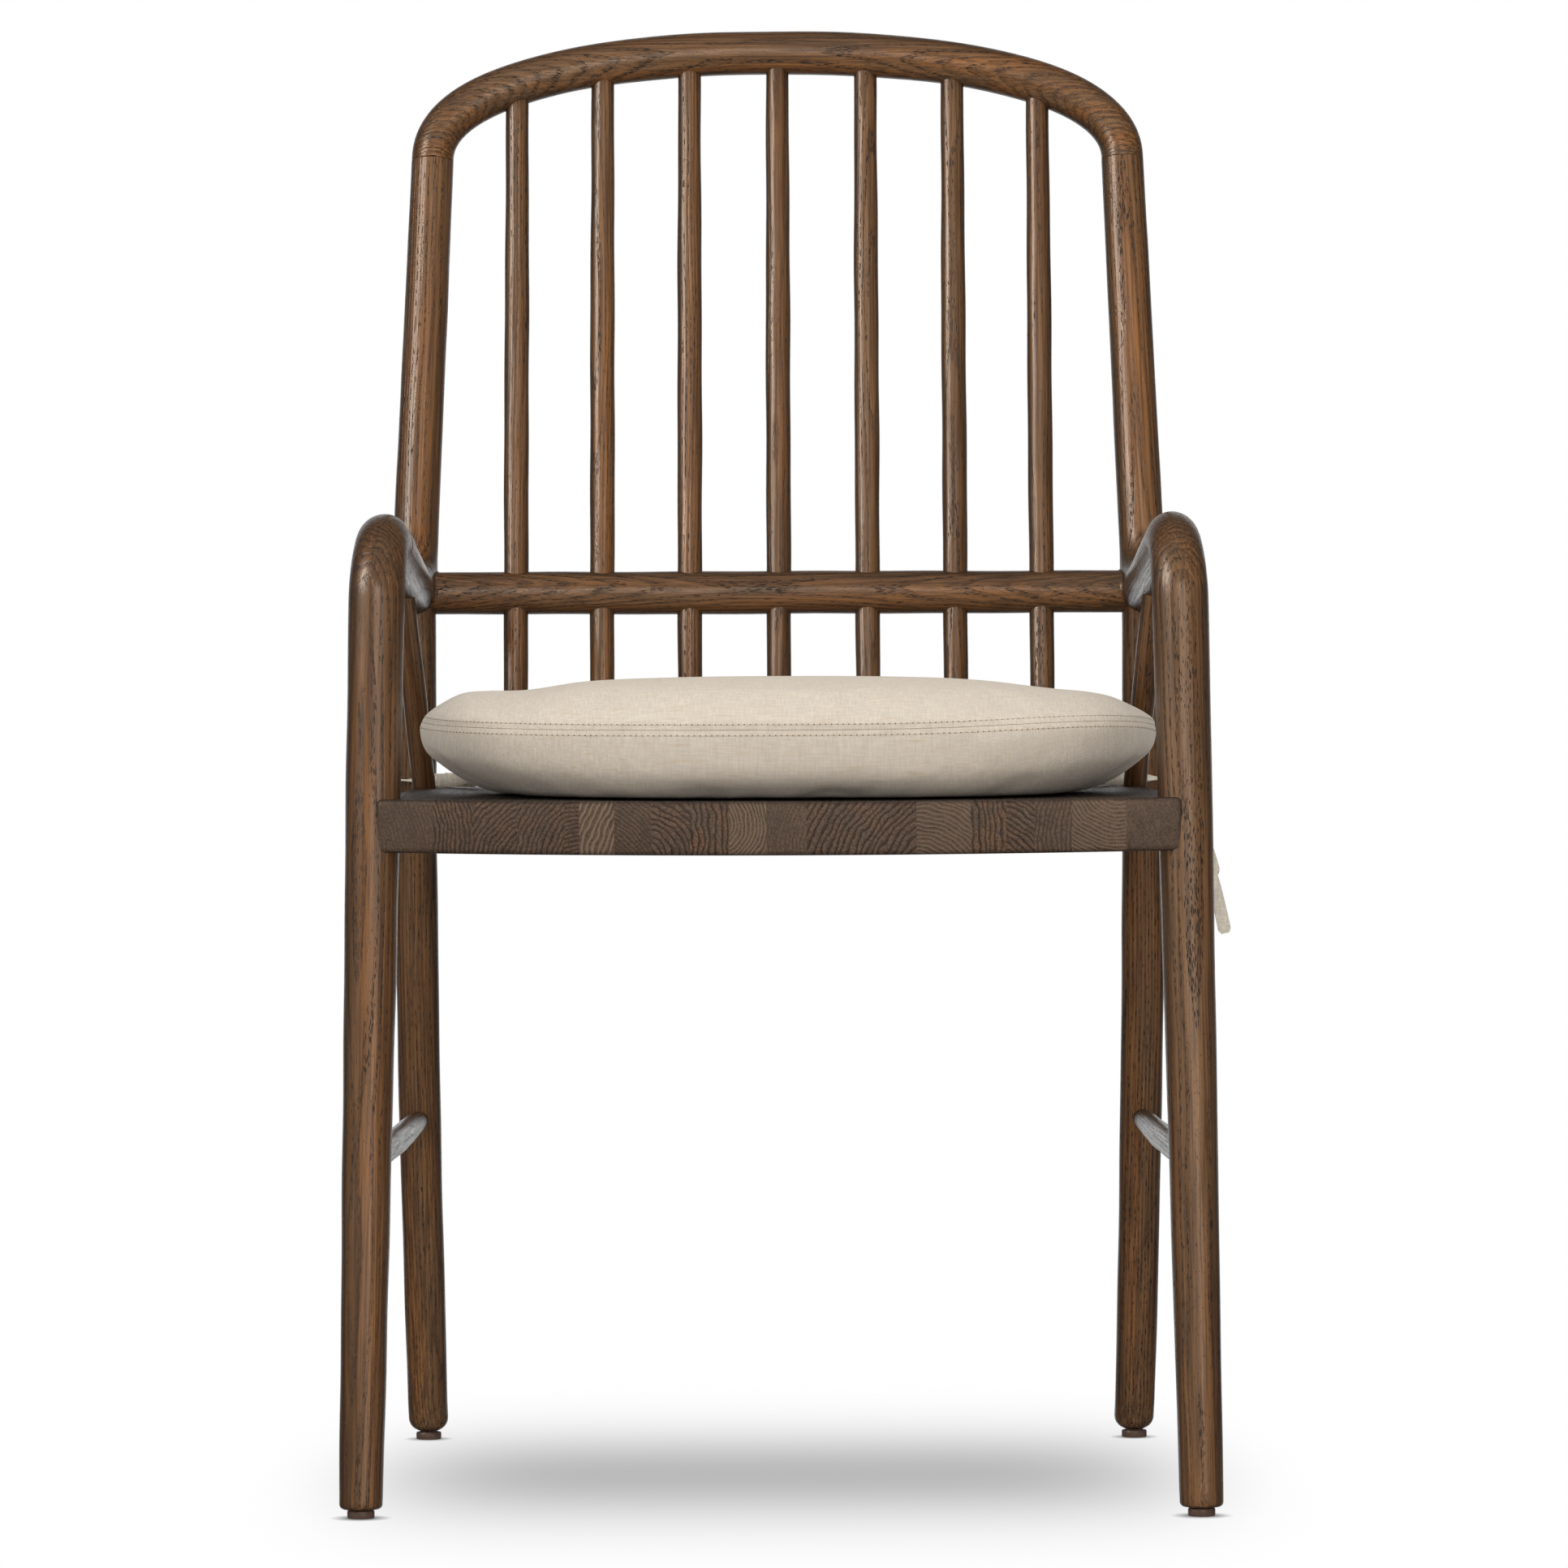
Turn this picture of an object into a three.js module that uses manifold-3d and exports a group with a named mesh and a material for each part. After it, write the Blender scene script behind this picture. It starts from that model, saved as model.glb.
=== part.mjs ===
// A wooden armchair with a tied seat cushion, in millimetres, +Z up.
// The chair faces -Y, and +X is on the right of someone who looks at its front.
// Heights are above the floor, and depths are measured back from the line through the front feet.

import * as THREE from 'three';
import { mergeVertices } from 'three/addons/utils/BufferGeometryUtils.js';
import Module from 'manifold-3d';

const wasm = await Module();
wasm.setup();

// ---------------------------------------------------------------- driving dimensions

const GAP = 0.3; // clearance kept between pieces that touch
const ORIGIN_DEPTH = 256.7; // from the front foot line back to the middle of the chair

// Legs: half spacing, depth and height of the points that their centre lines pass through.
const GLIDE_HEIGHT = 5.7;
const FRONT_FOOT = new THREE.Vector3(259.5, 0, GLIDE_HEIGHT);
const FRONT_SHOULDER = new THREE.Vector3(250.4, 59, 568);
const REAR_FOOT = new THREE.Vector3(238.8, 500, GLIDE_HEIGHT);
const REAR_KNEE = new THREE.Vector3(244.6, 440, 300);
const KNUCKLE = new THREE.Vector3(243.4, 420, 572);
const FRONT_LEG_RADIUS = { foot: 13.5, seat: 17, shoulder: 17.6 };
const FRONT_SHAFT = { from: 0.3, to: 0.97 }; // shares of the front leg's line between foot and shoulder
const REAR_LEG_RADIUS = { foot: 13.4, top: 15.1 };
const REAR_SHAFT = { to: 0.94, footFrom: 0.985 }; // shares of the rear leg's line, from the knuckle down
const FRONT_FOOT_ROUNDING = 3;
const REAR_FOOT_ROUNDING = 9;
const REAR_FOOT_TURN = 76; // degrees of rounding down to the flat of the rear foot

// Arms: the bend at the top of the front leg, then a straight run down to the knuckle.
const ARM_START = new THREE.Vector3(247, 101, 604.2);
const BEND_HANDLE = 22;
const ARM_JOINT = 0.06; // share of the straight run that belongs to the front leg
const ARM_RADIUS = { front: 16.4, rear: 15.2 };
const ARM_OVERRUN = 4; // how far the straight run passes the knuckle point before it is rounded off
const ARM_END_TURNS = [0, 29, 57, 77]; // degrees round the half ball at the arm's rear end

// Back: posts, bow, rail and spindles lie in one reclined sheet that is bowed back in plan.
const RECLINE = Math.tan(THREE.MathUtils.degToRad(11.5));
const BACK_BOW = 18;
const BOW_JOINT = { halfWidth: 232, height: 862.6 };
const BOW_RISE = 74.4;
const BOW_FULLNESS = 2.25; // exponent of the bow's superellipse
const BOW_RADIUS = { joint: 14.1, crown: 14.7 };
const RAIL_RADIUS = { end: 14, middle: 14.4 };
const RAIL_INSET = 3; // how far the rail's ends stop short of the knuckle points
const SPINDLE_PLACES = [-175.3, -117.9, -59.4, 0, 59.4, 117.9, 175.3];
const SPINDLE_RADIUS = { foot: 7.8, middle: 8.3, top: 7.6 };
const BOW_SOCKET = 9;

// Seat panel.
const SEAT_TOP = 443;
const SEAT_THICKNESS = 33;
const SEAT_ROUNDING = 2.6;
const SEAT_CUP = 2;
const SEAT = { frontHalf: 250.2, rearHalf: 242, front: 27, rear: 457, frontBow: 16, rearBow: 12 };
const SEAT_CORNER = 4;
const SEAT_SOCKET = 18;

// Arm spindles and side stretchers.
const ARM_SPINDLE_FOOT = new THREE.Vector3(235, 378, SEAT_TOP);
const ARM_SPINDLE_HEAD = new THREE.Vector3(246, 300, 585);
const ARM_SPINDLE_RADIUS = { foot: 7.6, middle: 7.9, head: 7.2 };
const STRETCHER_HEIGHT = { front: 215.5, rear: 219 };
const STRETCHER_RADIUS = { end: 6, middle: 8.5 };
const STRETCHER_INSET = 0.012; // share of the distance between the legs' centre lines left at each end

// Dowels, and how far each one runs to either side of the middle of its joint.
const DOWEL_RADIUS = 4;
const BOW_DOWEL = { down: 18, up: 16 };
const ARM_DOWEL = { front: 16, rear: 19 };
const KNUCKLE_DOWEL = 31;
const RAIL_DOWEL = { inner: 30, outer: 6 };
const SEAT_DOWEL = { inner: 26, front: 9, rear: 7 };

// Glides and nails.
const GLIDE = { radius: 8.7, disc: 5, neck: 6.2, bore: 2.3, rim: 0.6 };
const NAIL = { radius: 2, from: 1.6, to: 21 };

// Cushion: half sizes of the plan, its middle, and the heights of its seam and crown above the seat.
const CUSHION = { halfWidth: 235.4, halfDepth: 184, x: 5.7, y: 216, seam: 42, crown: 74 };
const CUSHION_FLAT = 0.8; // share of the plan that lies flat on the seat
const CUSHION_TAPER = 0.07; // share by which the back half narrows
const CUSHION_SQUARING = 0.68; // exponent of the plan: 1 is an ellipse, and smaller is squarer
const CUSHION_FULLNESS = 2.5; // exponent of the crown: larger keeps it flat nearer to its edge
const CUSHION_SIDE_TURNS = [0, 18, 36, 54, 72]; // degrees round the side, from the seat up to the seam
const CUSHION_CROWN_SPREADS = [1, 0.985, 0.93, 0.82, 0.65, 0.4, 0]; // shares of the plan, seam to crown
const CUSHION_CLEARANCE = 0.5;

// Tie tapes, as thin round solids, and the knots on the outer sides of the rear legs.
const TAPE_RADIUS = 2.4;
const TAPE_SIDES = 8;
const TAPE_STEPS = 22;
const KNOT = { centre: new THREE.Vector3(267.4, 431, 443.5), radii: new THREE.Vector3(8.6, 10.5, 9.5) };

// ---------------------------------------------------------------- materials

const finish = (color, roughness, metalness = 0) =>
  new THREE.MeshStandardMaterial({ color, roughness, metalness });
const stainedOak = finish(0x5f4433, 0.45);
const dowelWood = finish(0xb08a5e, 0.7);
const glidePlastic = finish(0x3a2a20, 0.5);
const nailSteel = finish(0x9a9a9a, 0.35, 1);
const linen = finish(0xcbbfa9, 0.95);
const tapeLinen = finish(0xd8cdb8, 0.95);

// ---------------------------------------------------------------- solids

function solid(geometry) {
  const bare = geometry.clone();
  bare.deleteAttribute('normal');
  bare.deleteAttribute('uv');
  const merged = mergeVertices(bare, 1e-4);
  const mesh = new wasm.Mesh({
    numProp: 3,
    vertProperties: new Float32Array(merged.attributes.position.array),
    triVerts: new Uint32Array(merged.index.array),
  });
  return new wasm.Manifold(mesh);
}

const chair = new THREE.Group();
chair.position.y = -ORIGIN_DEPTH;

function addPiece(name, shape, material) {
  const { vertProperties, triVerts } = shape.getMesh();
  const geometry = new THREE.BufferGeometry();
  geometry.setAttribute('position', new THREE.BufferAttribute(vertProperties, 3));
  geometry.setIndex(new THREE.BufferAttribute(triVerts, 1));
  geometry.computeVertexNormals();
  const piece = new THREE.Mesh(geometry, material);
  piece.name = name;
  chair.add(piece);
}

const cut = (shape, tools) => tools.reduce((rest, tool) => rest.subtract(tool), shape);
const X_AXIS = new THREE.Vector3(1, 0, 0);
const Z_AXIS = new THREE.Vector3(0, 0, 1);

// A round bar through stations of { point, radius }. Sections stand square to the bar, or to a
// station's own facing direction. The first facet starts at the given side direction.
function bar(stations, side, facets = 14) {
  const rows = stations.length - 1;
  const frames = stations.map(({ point, radius, facing }, row) => {
    const before = stations[Math.max(row - 1, 0)].point;
    const after = stations[Math.min(row + 1, rows)].point;
    const along = facing ?? after.clone().sub(before).normalize();
    const across = side.clone().addScaledVector(along, -side.dot(along)).normalize();
    return { point, radius, across, over: along.clone().cross(across) };
  });
  const geometry = new THREE.CylinderGeometry(1, 1, 1, facets, rows);
  const position = geometry.attributes.position;
  for (let index = 0; index < position.count; index += 1) {
    const frame = frames[Math.round((0.5 - position.getY(index)) * rows)];
    const vertex = frame.point
      .clone()
      .addScaledVector(frame.across, position.getX(index) * frame.radius)
      .addScaledVector(frame.over, position.getZ(index) * frame.radius);
    position.setXYZ(index, vertex.x, vertex.y, vertex.z);
  }
  return solid(geometry);
}

// Stations along a curve, at even steps from one share of its length to another.
function stationsAlong(curve, steps, radiusAt, from = 0, to = 1) {
  return Array.from({ length: steps + 1 }, (_, step) => {
    const share = from + ((to - from) * step) / steps;
    return { point: curve.getPoint(share), radius: radiusAt(share) };
  });
}

function peg(start, end, radius, facets = 10) {
  const side = Math.abs(end.x - start.x) > Math.abs(end.z - start.z) ? Z_AXIS : X_AXIS;
  return bar([{ point: start, radius }, { point: end, radius }], side, facets);
}

const mix = THREE.MathUtils.lerp;
const radians = THREE.MathUtils.degToRad;
const shifted = (point, x, y, z) => point.clone().add(new THREE.Vector3(x, y, z));
const swell = (share, end, middle) => end + (middle - end) * Math.sin(Math.PI * share);
const sideOf = (point, sign) => new THREE.Vector3(point.x * sign, point.y, point.z);

// ---------------------------------------------------------------- legs and arms

const frontLegLine = new THREE.LineCurve3(FRONT_FOOT, FRONT_SHOULDER);
const armLine = new THREE.LineCurve3(ARM_START, KNUCKLE);
const armDirection = armLine.getTangent(0);
const armBend = new THREE.CubicBezierCurve3(
  FRONT_SHOULDER,
  FRONT_SHOULDER.clone().addScaledVector(frontLegLine.getTangent(0), BEND_HANDLE),
  ARM_START.clone().addScaledVector(armDirection, -BEND_HANDLE),
  ARM_START,
);
const rearLegLine = new THREE.QuadraticBezierCurve3(KNUCKLE, REAR_KNEE, REAR_FOOT);

function frontLegRadius(height) {
  const seatMiddle = SEAT_TOP - SEAT_THICKNESS / 2;
  const { foot, seat, shoulder } = FRONT_LEG_RADIUS;
  return height < seatMiddle
    ? mix(foot, seat, height / seatMiddle)
    : mix(seat, shoulder, (height - seatMiddle) / (FRONT_SHOULDER.z - seatMiddle));
}

function frontLeg(extra = 0) {
  const { foot, shoulder } = FRONT_LEG_RADIUS;
  const footStations = [90, 45, 0].map(radians).map((turn) => ({
    point: shifted(FRONT_FOOT, 0, 0, FRONT_FOOT_ROUNDING * (1 - Math.sin(turn))),
    radius: foot - FRONT_FOOT_ROUNDING * (1 - Math.cos(turn)),
    facing: Z_AXIS,
  }));
  const { from, to } = FRONT_SHAFT;
  const stations = [
    ...footStations,
    ...stationsAlong(frontLegLine, 2, (share) => frontLegRadius(share * FRONT_SHOULDER.z), from, to),
    ...stationsAlong(armBend, 7, (share) => mix(shoulder, ARM_RADIUS.front, share)),
    { point: armLine.getPoint(ARM_JOINT), radius: ARM_RADIUS.front },
  ];
  return bar(stations.map((one) => ({ ...one, radius: one.radius + extra })), X_AXIS);
}

// The arm ends in a half ball just behind the knuckle point.
function arm(extra = 0) {
  const joint = ARM_JOINT + GAP / armLine.getLength();
  const radiusAt = (share) => mix(ARM_RADIUS.front, ARM_RADIUS.rear, share) + extra;
  const stations = stationsAlong(armLine, 1, radiusAt, joint, 1);
  const rear = ARM_RADIUS.rear + extra;
  for (const turn of ARM_END_TURNS.map(radians)) {
    const past = ARM_OVERRUN + rear * Math.sin(turn);
    const point = KNUCKLE.clone().addScaledVector(armDirection, past);
    stations.push({ point, radius: rear * Math.cos(turn) });
  }
  return bar(stations, X_AXIS);
}

function rearLeg(extra = 0) {
  const { foot, top } = REAR_LEG_RADIUS;
  const radiusAt = (share) => mix(top, foot, share) + extra;
  const stations = stationsAlong(rearLegLine, 5, radiusAt, 0, REAR_SHAFT.to);
  const steps = 3;
  for (let step = 1; step <= steps; step += 1) {
    const turn = radians((REAR_FOOT_TURN * step) / steps);
    const share = mix(REAR_SHAFT.footFrom, 1, Math.sin(turn));
    const radius = foot - REAR_FOOT_ROUNDING * (1 - Math.cos(turn)) + extra;
    stations.push({ point: rearLegLine.getPoint(share), radius });
  }
  stations.at(-1).point = REAR_FOOT;
  stations.at(-1).facing = Z_AXIS.clone().negate();
  return bar(stations, X_AXIS);
}

// ---------------------------------------------------------------- back

function backPoint(x, height) {
  const bowed = BACK_BOW * (1 - (x / KNUCKLE.x) ** 2);
  return new THREE.Vector3(x, KNUCKLE.y + (height - KNUCKLE.z) * RECLINE + bowed, height);
}

const bowEnd = backPoint(BOW_JOINT.halfWidth, BOW_JOINT.height);
const postLine = new THREE.LineCurve3(KNUCKLE, bowEnd);
const backNormal = new THREE.Vector3(0, -1, RECLINE).normalize();

const postRadius = (share) => mix(REAR_LEG_RADIUS.top, BOW_RADIUS.joint, share);

function backPost() {
  const top = 1 - GAP / 2 / postLine.getLength();
  return bar(stationsAlong(postLine, 1, postRadius, 0, top), X_AXIS);
}

function crestBow() {
  const steps = 28;
  const power = 2 / BOW_FULLNESS;
  const stations = [];
  for (let step = 0; step <= steps; step += 1) {
    const angle = (Math.PI * step) / steps;
    const across = Math.sign(Math.cos(angle)) * Math.abs(Math.cos(angle)) ** power;
    const rise = Math.sin(angle) ** power;
    const point = backPoint(BOW_JOINT.halfWidth * across, BOW_JOINT.height + BOW_RISE * rise);
    stations.push({ point, radius: mix(BOW_RADIUS.joint, BOW_RADIUS.crown, rise) });
  }
  for (const [end, sign] of [[stations[0], 1], [stations.at(-1), -1]]) {
    const upward = sideOf(postLine.getTangent(1), sign);
    end.point.addScaledVector(upward, GAP / 2);
    end.facing = upward.multiplyScalar(sign);
  }
  return bar(stations, backNormal);
}

function backRail() {
  const steps = 8;
  const stations = Array.from({ length: steps + 1 }, (_, step) => {
    const share = step / steps;
    const radius = swell(share, RAIL_RADIUS.end, RAIL_RADIUS.middle);
    return { point: backPoint(mix(-1, 1, share) * (KNUCKLE.x - RAIL_INSET), KNUCKLE.z), radius };
  });
  return bar(stations, Z_AXIS);
}

// Height of the bow's centre line above a place on the X axis.
function bowHeight(x) {
  const share = Math.abs(x) / BOW_JOINT.halfWidth;
  return BOW_JOINT.height + BOW_RISE * (1 - share ** BOW_FULLNESS) ** (1 / BOW_FULLNESS);
}

function spindle(x, extra = 0) {
  const { foot, middle, top } = SPINDLE_RADIUS;
  const low = SEAT_TOP - SEAT_SOCKET - extra;
  const high = bowHeight(x) - BOW_RADIUS.crown + BOW_SOCKET + extra;
  const stations = [
    { point: backPoint(x, low), radius: foot + extra },
    { point: backPoint(x, KNUCKLE.z), radius: middle + extra },
    { point: backPoint(x, mix(KNUCKLE.z, high, 0.5)), radius: middle + extra },
    { point: backPoint(x, high), radius: top + extra },
  ];
  return bar(stations, X_AXIS, 12);
}

// ---------------------------------------------------------------- seat, arm spindles, stretchers

// The plan is drawn with its front edge bowed forward and its rear edge bowed back.
function seatPlan(extra) {
  const frontHalf = SEAT.frontHalf + extra;
  const rearHalf = SEAT.rearHalf + extra;
  const front = SEAT.front - extra;
  const rear = SEAT.rear + extra;
  const plan = new THREE.Shape();
  plan.moveTo(-frontHalf + SEAT_CORNER, front);
  plan.quadraticCurveTo(0, front - 2 * SEAT.frontBow, frontHalf - SEAT_CORNER, front);
  plan.quadraticCurveTo(frontHalf, front, frontHalf, front + SEAT_CORNER);
  plan.lineTo(rearHalf, rear - SEAT_CORNER);
  plan.quadraticCurveTo(rearHalf, rear, rearHalf - SEAT_CORNER, rear);
  plan.quadraticCurveTo(0, rear + 2 * SEAT.rearBow, -rearHalf + SEAT_CORNER, rear);
  plan.quadraticCurveTo(-rearHalf, rear, -rearHalf, rear - SEAT_CORNER);
  plan.lineTo(-frontHalf, front + SEAT_CORNER);
  plan.quadraticCurveTo(-frontHalf, front, -frontHalf + SEAT_CORNER, front);
  return plan;
}

function seatPanel(extra = 0) {
  const geometry = new THREE.ExtrudeGeometry(seatPlan(extra), {
    depth: SEAT_THICKNESS - 2 * SEAT_ROUNDING + 2 * extra,
    curveSegments: 5,
    bevelThickness: SEAT_ROUNDING,
    bevelSize: SEAT_ROUNDING,
    bevelOffset: -SEAT_ROUNDING,
    bevelSegments: 1,
  });
  geometry.translate(0, 0, SEAT_TOP - SEAT_THICKNESS + SEAT_ROUNDING - extra);
  const position = geometry.attributes.position;
  for (let index = 0; index < position.count; index += 1) {
    const share = Math.min(Math.abs(position.getX(index)) / SEAT.rearHalf, 1);
    position.setZ(index, position.getZ(index) - SEAT_CUP * (1 - share ** 2));
  }
  return solid(geometry);
}

function armSpindle(extra = 0) {
  const axis = ARM_SPINDLE_HEAD.clone().sub(ARM_SPINDLE_FOOT).normalize();
  const { foot, middle, head } = ARM_SPINDLE_RADIUS;
  const low = ARM_SPINDLE_FOOT.clone().addScaledVector(axis, -SEAT_SOCKET - extra);
  const high = ARM_SPINDLE_HEAD.clone().addScaledVector(axis, extra);
  const stations = [
    { point: low, radius: foot + extra },
    { point: low.clone().lerp(high, 0.5), radius: middle + extra },
    { point: high, radius: head + extra },
  ];
  return bar(stations, X_AXIS, 12);
}

function legPointAt(curve, height) {
  let [low, high] = [0, 1];
  const rising = curve.getPoint(1).z > curve.getPoint(0).z;
  for (let pass = 0; pass < 30; pass += 1) {
    const middle = (low + high) / 2;
    if (curve.getPoint(middle).z < height === rising) {
      low = middle;
    } else {
      high = middle;
    }
  }
  return curve.getPoint(low);
}

function sideStretcher(extra = 0) {
  const front = legPointAt(frontLegLine, STRETCHER_HEIGHT.front);
  const rear = legPointAt(rearLegLine, STRETCHER_HEIGHT.rear);
  const line = new THREE.LineCurve3(front, rear);
  const inset = STRETCHER_INSET - extra / line.getLength();
  const radiusAt = (share) => swell(share, STRETCHER_RADIUS.end, STRETCHER_RADIUS.middle) + extra;
  return bar(stationsAlong(line, 6, radiusAt, inset, 1 - inset), X_AXIS, 12);
}

// ---------------------------------------------------------------- dowels, glides and nails

const seatMiddleHeight = SEAT_TOP - SEAT_THICKNESS / 2;
const frontLegAtSeat = legPointAt(frontLegLine, seatMiddleHeight);
const rearLegAtSeat = legPointAt(rearLegLine, seatMiddleHeight);

const dowelLines = {
  bow_dowel: [
    bowEnd.clone().addScaledVector(postLine.getTangent(0), -BOW_DOWEL.down),
    shifted(bowEnd, 0, BOW_DOWEL.up * RECLINE, BOW_DOWEL.up),
  ],
  arm_dowel: [
    armLine.getPoint(ARM_JOINT).addScaledVector(armDirection, -ARM_DOWEL.front),
    armLine.getPoint(ARM_JOINT).addScaledVector(armDirection, ARM_DOWEL.rear),
  ],
  knuckle_dowel: [shifted(KNUCKLE, 0, 1, -KNUCKLE_DOWEL), shifted(KNUCKLE, 0, 1, KNUCKLE_DOWEL)],
  rail_dowel: [
    backPoint(KNUCKLE.x - RAIL_DOWEL.inner, KNUCKLE.z),
    backPoint(KNUCKLE.x - RAIL_DOWEL.outer, KNUCKLE.z),
  ],
  front_seat_dowel: [
    shifted(frontLegAtSeat, -SEAT_DOWEL.inner, 0, 0),
    shifted(frontLegAtSeat, SEAT_DOWEL.front, 0, 0),
  ],
  rear_seat_dowel: [
    shifted(rearLegAtSeat, -SEAT_DOWEL.inner, 0, 0),
    shifted(rearLegAtSeat, SEAT_DOWEL.rear, 0, 0),
  ],
};

function dowel(name, extra = 0) {
  const [start, end] = dowelLines[name];
  const axis = end.clone().sub(start).normalize();
  const from = start.clone().addScaledVector(axis, -extra);
  const to = end.clone().addScaledVector(axis, extra);
  return peg(from, to, DOWEL_RADIUS + extra);
}

function glide(foot) {
  const { radius, disc, neck, bore, rim } = GLIDE;
  const top = GLIDE_HEIGHT - GAP;
  const floorOfBore = NAIL.from - GAP;
  const corners = [
    [0, 0], [radius - rim, 0], [radius, rim], [radius, disc], [neck, disc], [neck, top],
    [bore, top], [bore, floorOfBore], [0, floorOfBore],
  ];
  const profile = corners.map(([across, height]) => new THREE.Vector2(across, height));
  const geometry = new THREE.LatheGeometry(profile, 14);
  geometry.rotateX(Math.PI / 2);
  geometry.translate(foot.x, foot.y, 0);
  return solid(geometry);
}

function nail(foot, extra = 0) {
  const from = new THREE.Vector3(foot.x, foot.y, NAIL.from - extra);
  const to = new THREE.Vector3(foot.x, foot.y, NAIL.to + extra);
  return peg(from, to, NAIL.radius + extra, 8);
}

// ---------------------------------------------------------------- cushion, tapes and knots

// A pillow shape: squarish in plan, flat underneath, with its widest line at the seam.
function cushion() {
  const { halfWidth, halfDepth, x, y, seam, crown } = CUSHION;
  const side = CUSHION_SIDE_TURNS.map(radians).map((turn) => [
    mix(CUSHION_FLAT, 1, Math.sin(turn)),
    seam * (1 - Math.cos(turn)),
  ]);
  const top = CUSHION_CROWN_SPREADS.map((spread) => [
    spread,
    seam + (crown - seam) * Math.sqrt(1 - spread ** CUSHION_FULLNESS),
  ]);
  const profile = [[0, 0], [CUSHION_FLAT / 2, 0], ...side, ...top];
  const points = profile.map(([spread, height]) => new THREE.Vector2(spread, height));
  const geometry = new THREE.LatheGeometry(points, 28);
  geometry.rotateX(Math.PI / 2);
  const position = geometry.attributes.position;
  for (let index = 0; index < position.count; index += 1) {
    const spread = Math.hypot(position.getX(index), position.getY(index));
    const turn = Math.atan2(position.getY(index), position.getX(index));
    const [across, back] = [Math.cos(turn), Math.sin(turn)].map(
      (part) => spread * Math.sign(part) * Math.abs(part) ** CUSHION_SQUARING,
    );
    const narrowing = 1 - CUSHION_TAPER * Math.max(back, 0);
    const height = SEAT_TOP + CUSHION_CLEARANCE + position.getZ(index);
    position.setXYZ(index, x + halfWidth * across * narrowing, y + halfDepth * back, height);
  }
  return solid(geometry);
}

// Routes of the tapes: out of the cushion's rear corner, down to the seat, round the rear leg,
// through the knot and down.
const tapeRoutes = {
  tie_front_right: [
    [194.2, 354.5, 484], [199, 361, 477], [206, 374, 462], [212, 387, 451.5], [218, 397.5, 448.2],
    [224, 404, 447.8], [231, 409.3, 447.8], [240, 412.2, 447.8], [249.5, 413, 447.8],
    [257.8, 418, 447.8], [262, 423.5, 447.6], [266.5, 426.5, 445], [270.5, 427, 439], [274, 427, 430.5],
    [278, 427, 419], [282, 427, 405], [286, 427.3, 391], [290, 428, 377], [294, 429, 360],
    [297.5, 430, 343.5],
  ],
  tie_back_right: [
    [172.1, 371.8, 484], [177, 377.5, 477.5], [186, 385, 464], [196, 392.5, 452.5], [205, 400.5, 448.2],
    [212.5, 410.5, 447.8], [218, 421, 447.8], [221.5, 431, 447.8], [225, 441, 447.8],
    [232, 448.8, 447.8], [241.5, 451.2, 447.8], [251, 449, 447.8], [258.8, 443, 447.6],
    [263.5, 437.5, 446.8], [268, 435.5, 443], [272, 435.5, 436], [276, 436, 427], [280, 436.5, 416],
    [284.5, 437, 404], [288, 437.5, 393], [291, 438, 382],
  ],
  tie_front_left: [
    [-182.8, 354.5, 484], [-188, 361, 477], [-197, 374, 462], [-206, 387, 451.5], [-214.5, 397.5, 448.2],
    [-222, 404, 447.8], [-231, 409.3, 447.8], [-240, 412.2, 447.8], [-249.5, 413, 447.8],
    [-257.8, 418, 447.8], [-262, 423.5, 447.6], [-266.5, 426.5, 445], [-269.8, 427, 439],
    [-271.5, 427, 430.5], [-273, 427, 419], [-274.5, 427, 405], [-276, 427.5, 391],
    [-277.5, 428, 377], [-279, 429, 360], [-280.5, 430, 345],
  ],
  tie_back_left: [
    [-160.7, 371.8, 484], [-166, 377.5, 477.5], [-177, 385, 464], [-190, 392.5, 452.5],
    [-201.5, 400.5, 448.2], [-211, 410.5, 447.8], [-218, 421, 447.8], [-221.5, 431, 447.8],
    [-225, 441, 447.8], [-232, 448.8, 447.8], [-241.5, 451.2, 447.8], [-251, 449, 447.8],
    [-258.8, 443, 447.6], [-263.5, 437.5, 446.8], [-268, 435.5, 443], [-270.5, 435.5, 436],
    [-272.5, 436, 427], [-274.5, 436.5, 416], [-276.5, 437, 404], [-278.5, 437.5, 392],
    [-280.5, 438, 380],
  ],
};

function tape(route, extra = 0) {
  const curve = new THREE.CatmullRomCurve3(route.map((point) => new THREE.Vector3(...point)));
  const corners = Array.from({ length: TAPE_SIDES }, (_, corner) => {
    const turn = (2 * Math.PI * corner) / TAPE_SIDES;
    return new THREE.Vector2(Math.cos(turn), Math.sin(turn)).multiplyScalar(TAPE_RADIUS + extra);
  });
  return solid(
    new THREE.ExtrudeGeometry(new THREE.Shape(corners), { steps: TAPE_STEPS, extrudePath: curve }),
  );
}

function knot(sign) {
  const geometry = new THREE.SphereGeometry(1, 10, 8);
  geometry.scale(KNOT.radii.x, KNOT.radii.y, KNOT.radii.z);
  geometry.translate(KNOT.centre.x * sign, KNOT.centre.y, KNOT.centre.z);
  return solid(geometry);
}

// ---------------------------------------------------------------- assembly

const mirrored = (shape, sign) => {
  if (sign > 0) {
    return shape;
  }
  const { vertProperties, triVerts } = shape.getMesh();
  const flipped = new Float32Array(vertProperties);
  for (let index = 0; index < flipped.length; index += 3) {
    flipped[index] *= -1;
  }
  const turned = new Uint32Array(triVerts).reverse();
  return new wasm.Manifold(new wasm.Mesh({ numProp: 3, vertProperties: flipped, triVerts: turned }));
};

const seatGrown = seatPanel(GAP);
const armGrown = arm(GAP);
const armSpindleGrown = armSpindle(GAP);
const stretcherGrown = sideStretcher(GAP);
const bore = (name) => dowel(name, GAP);

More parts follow.
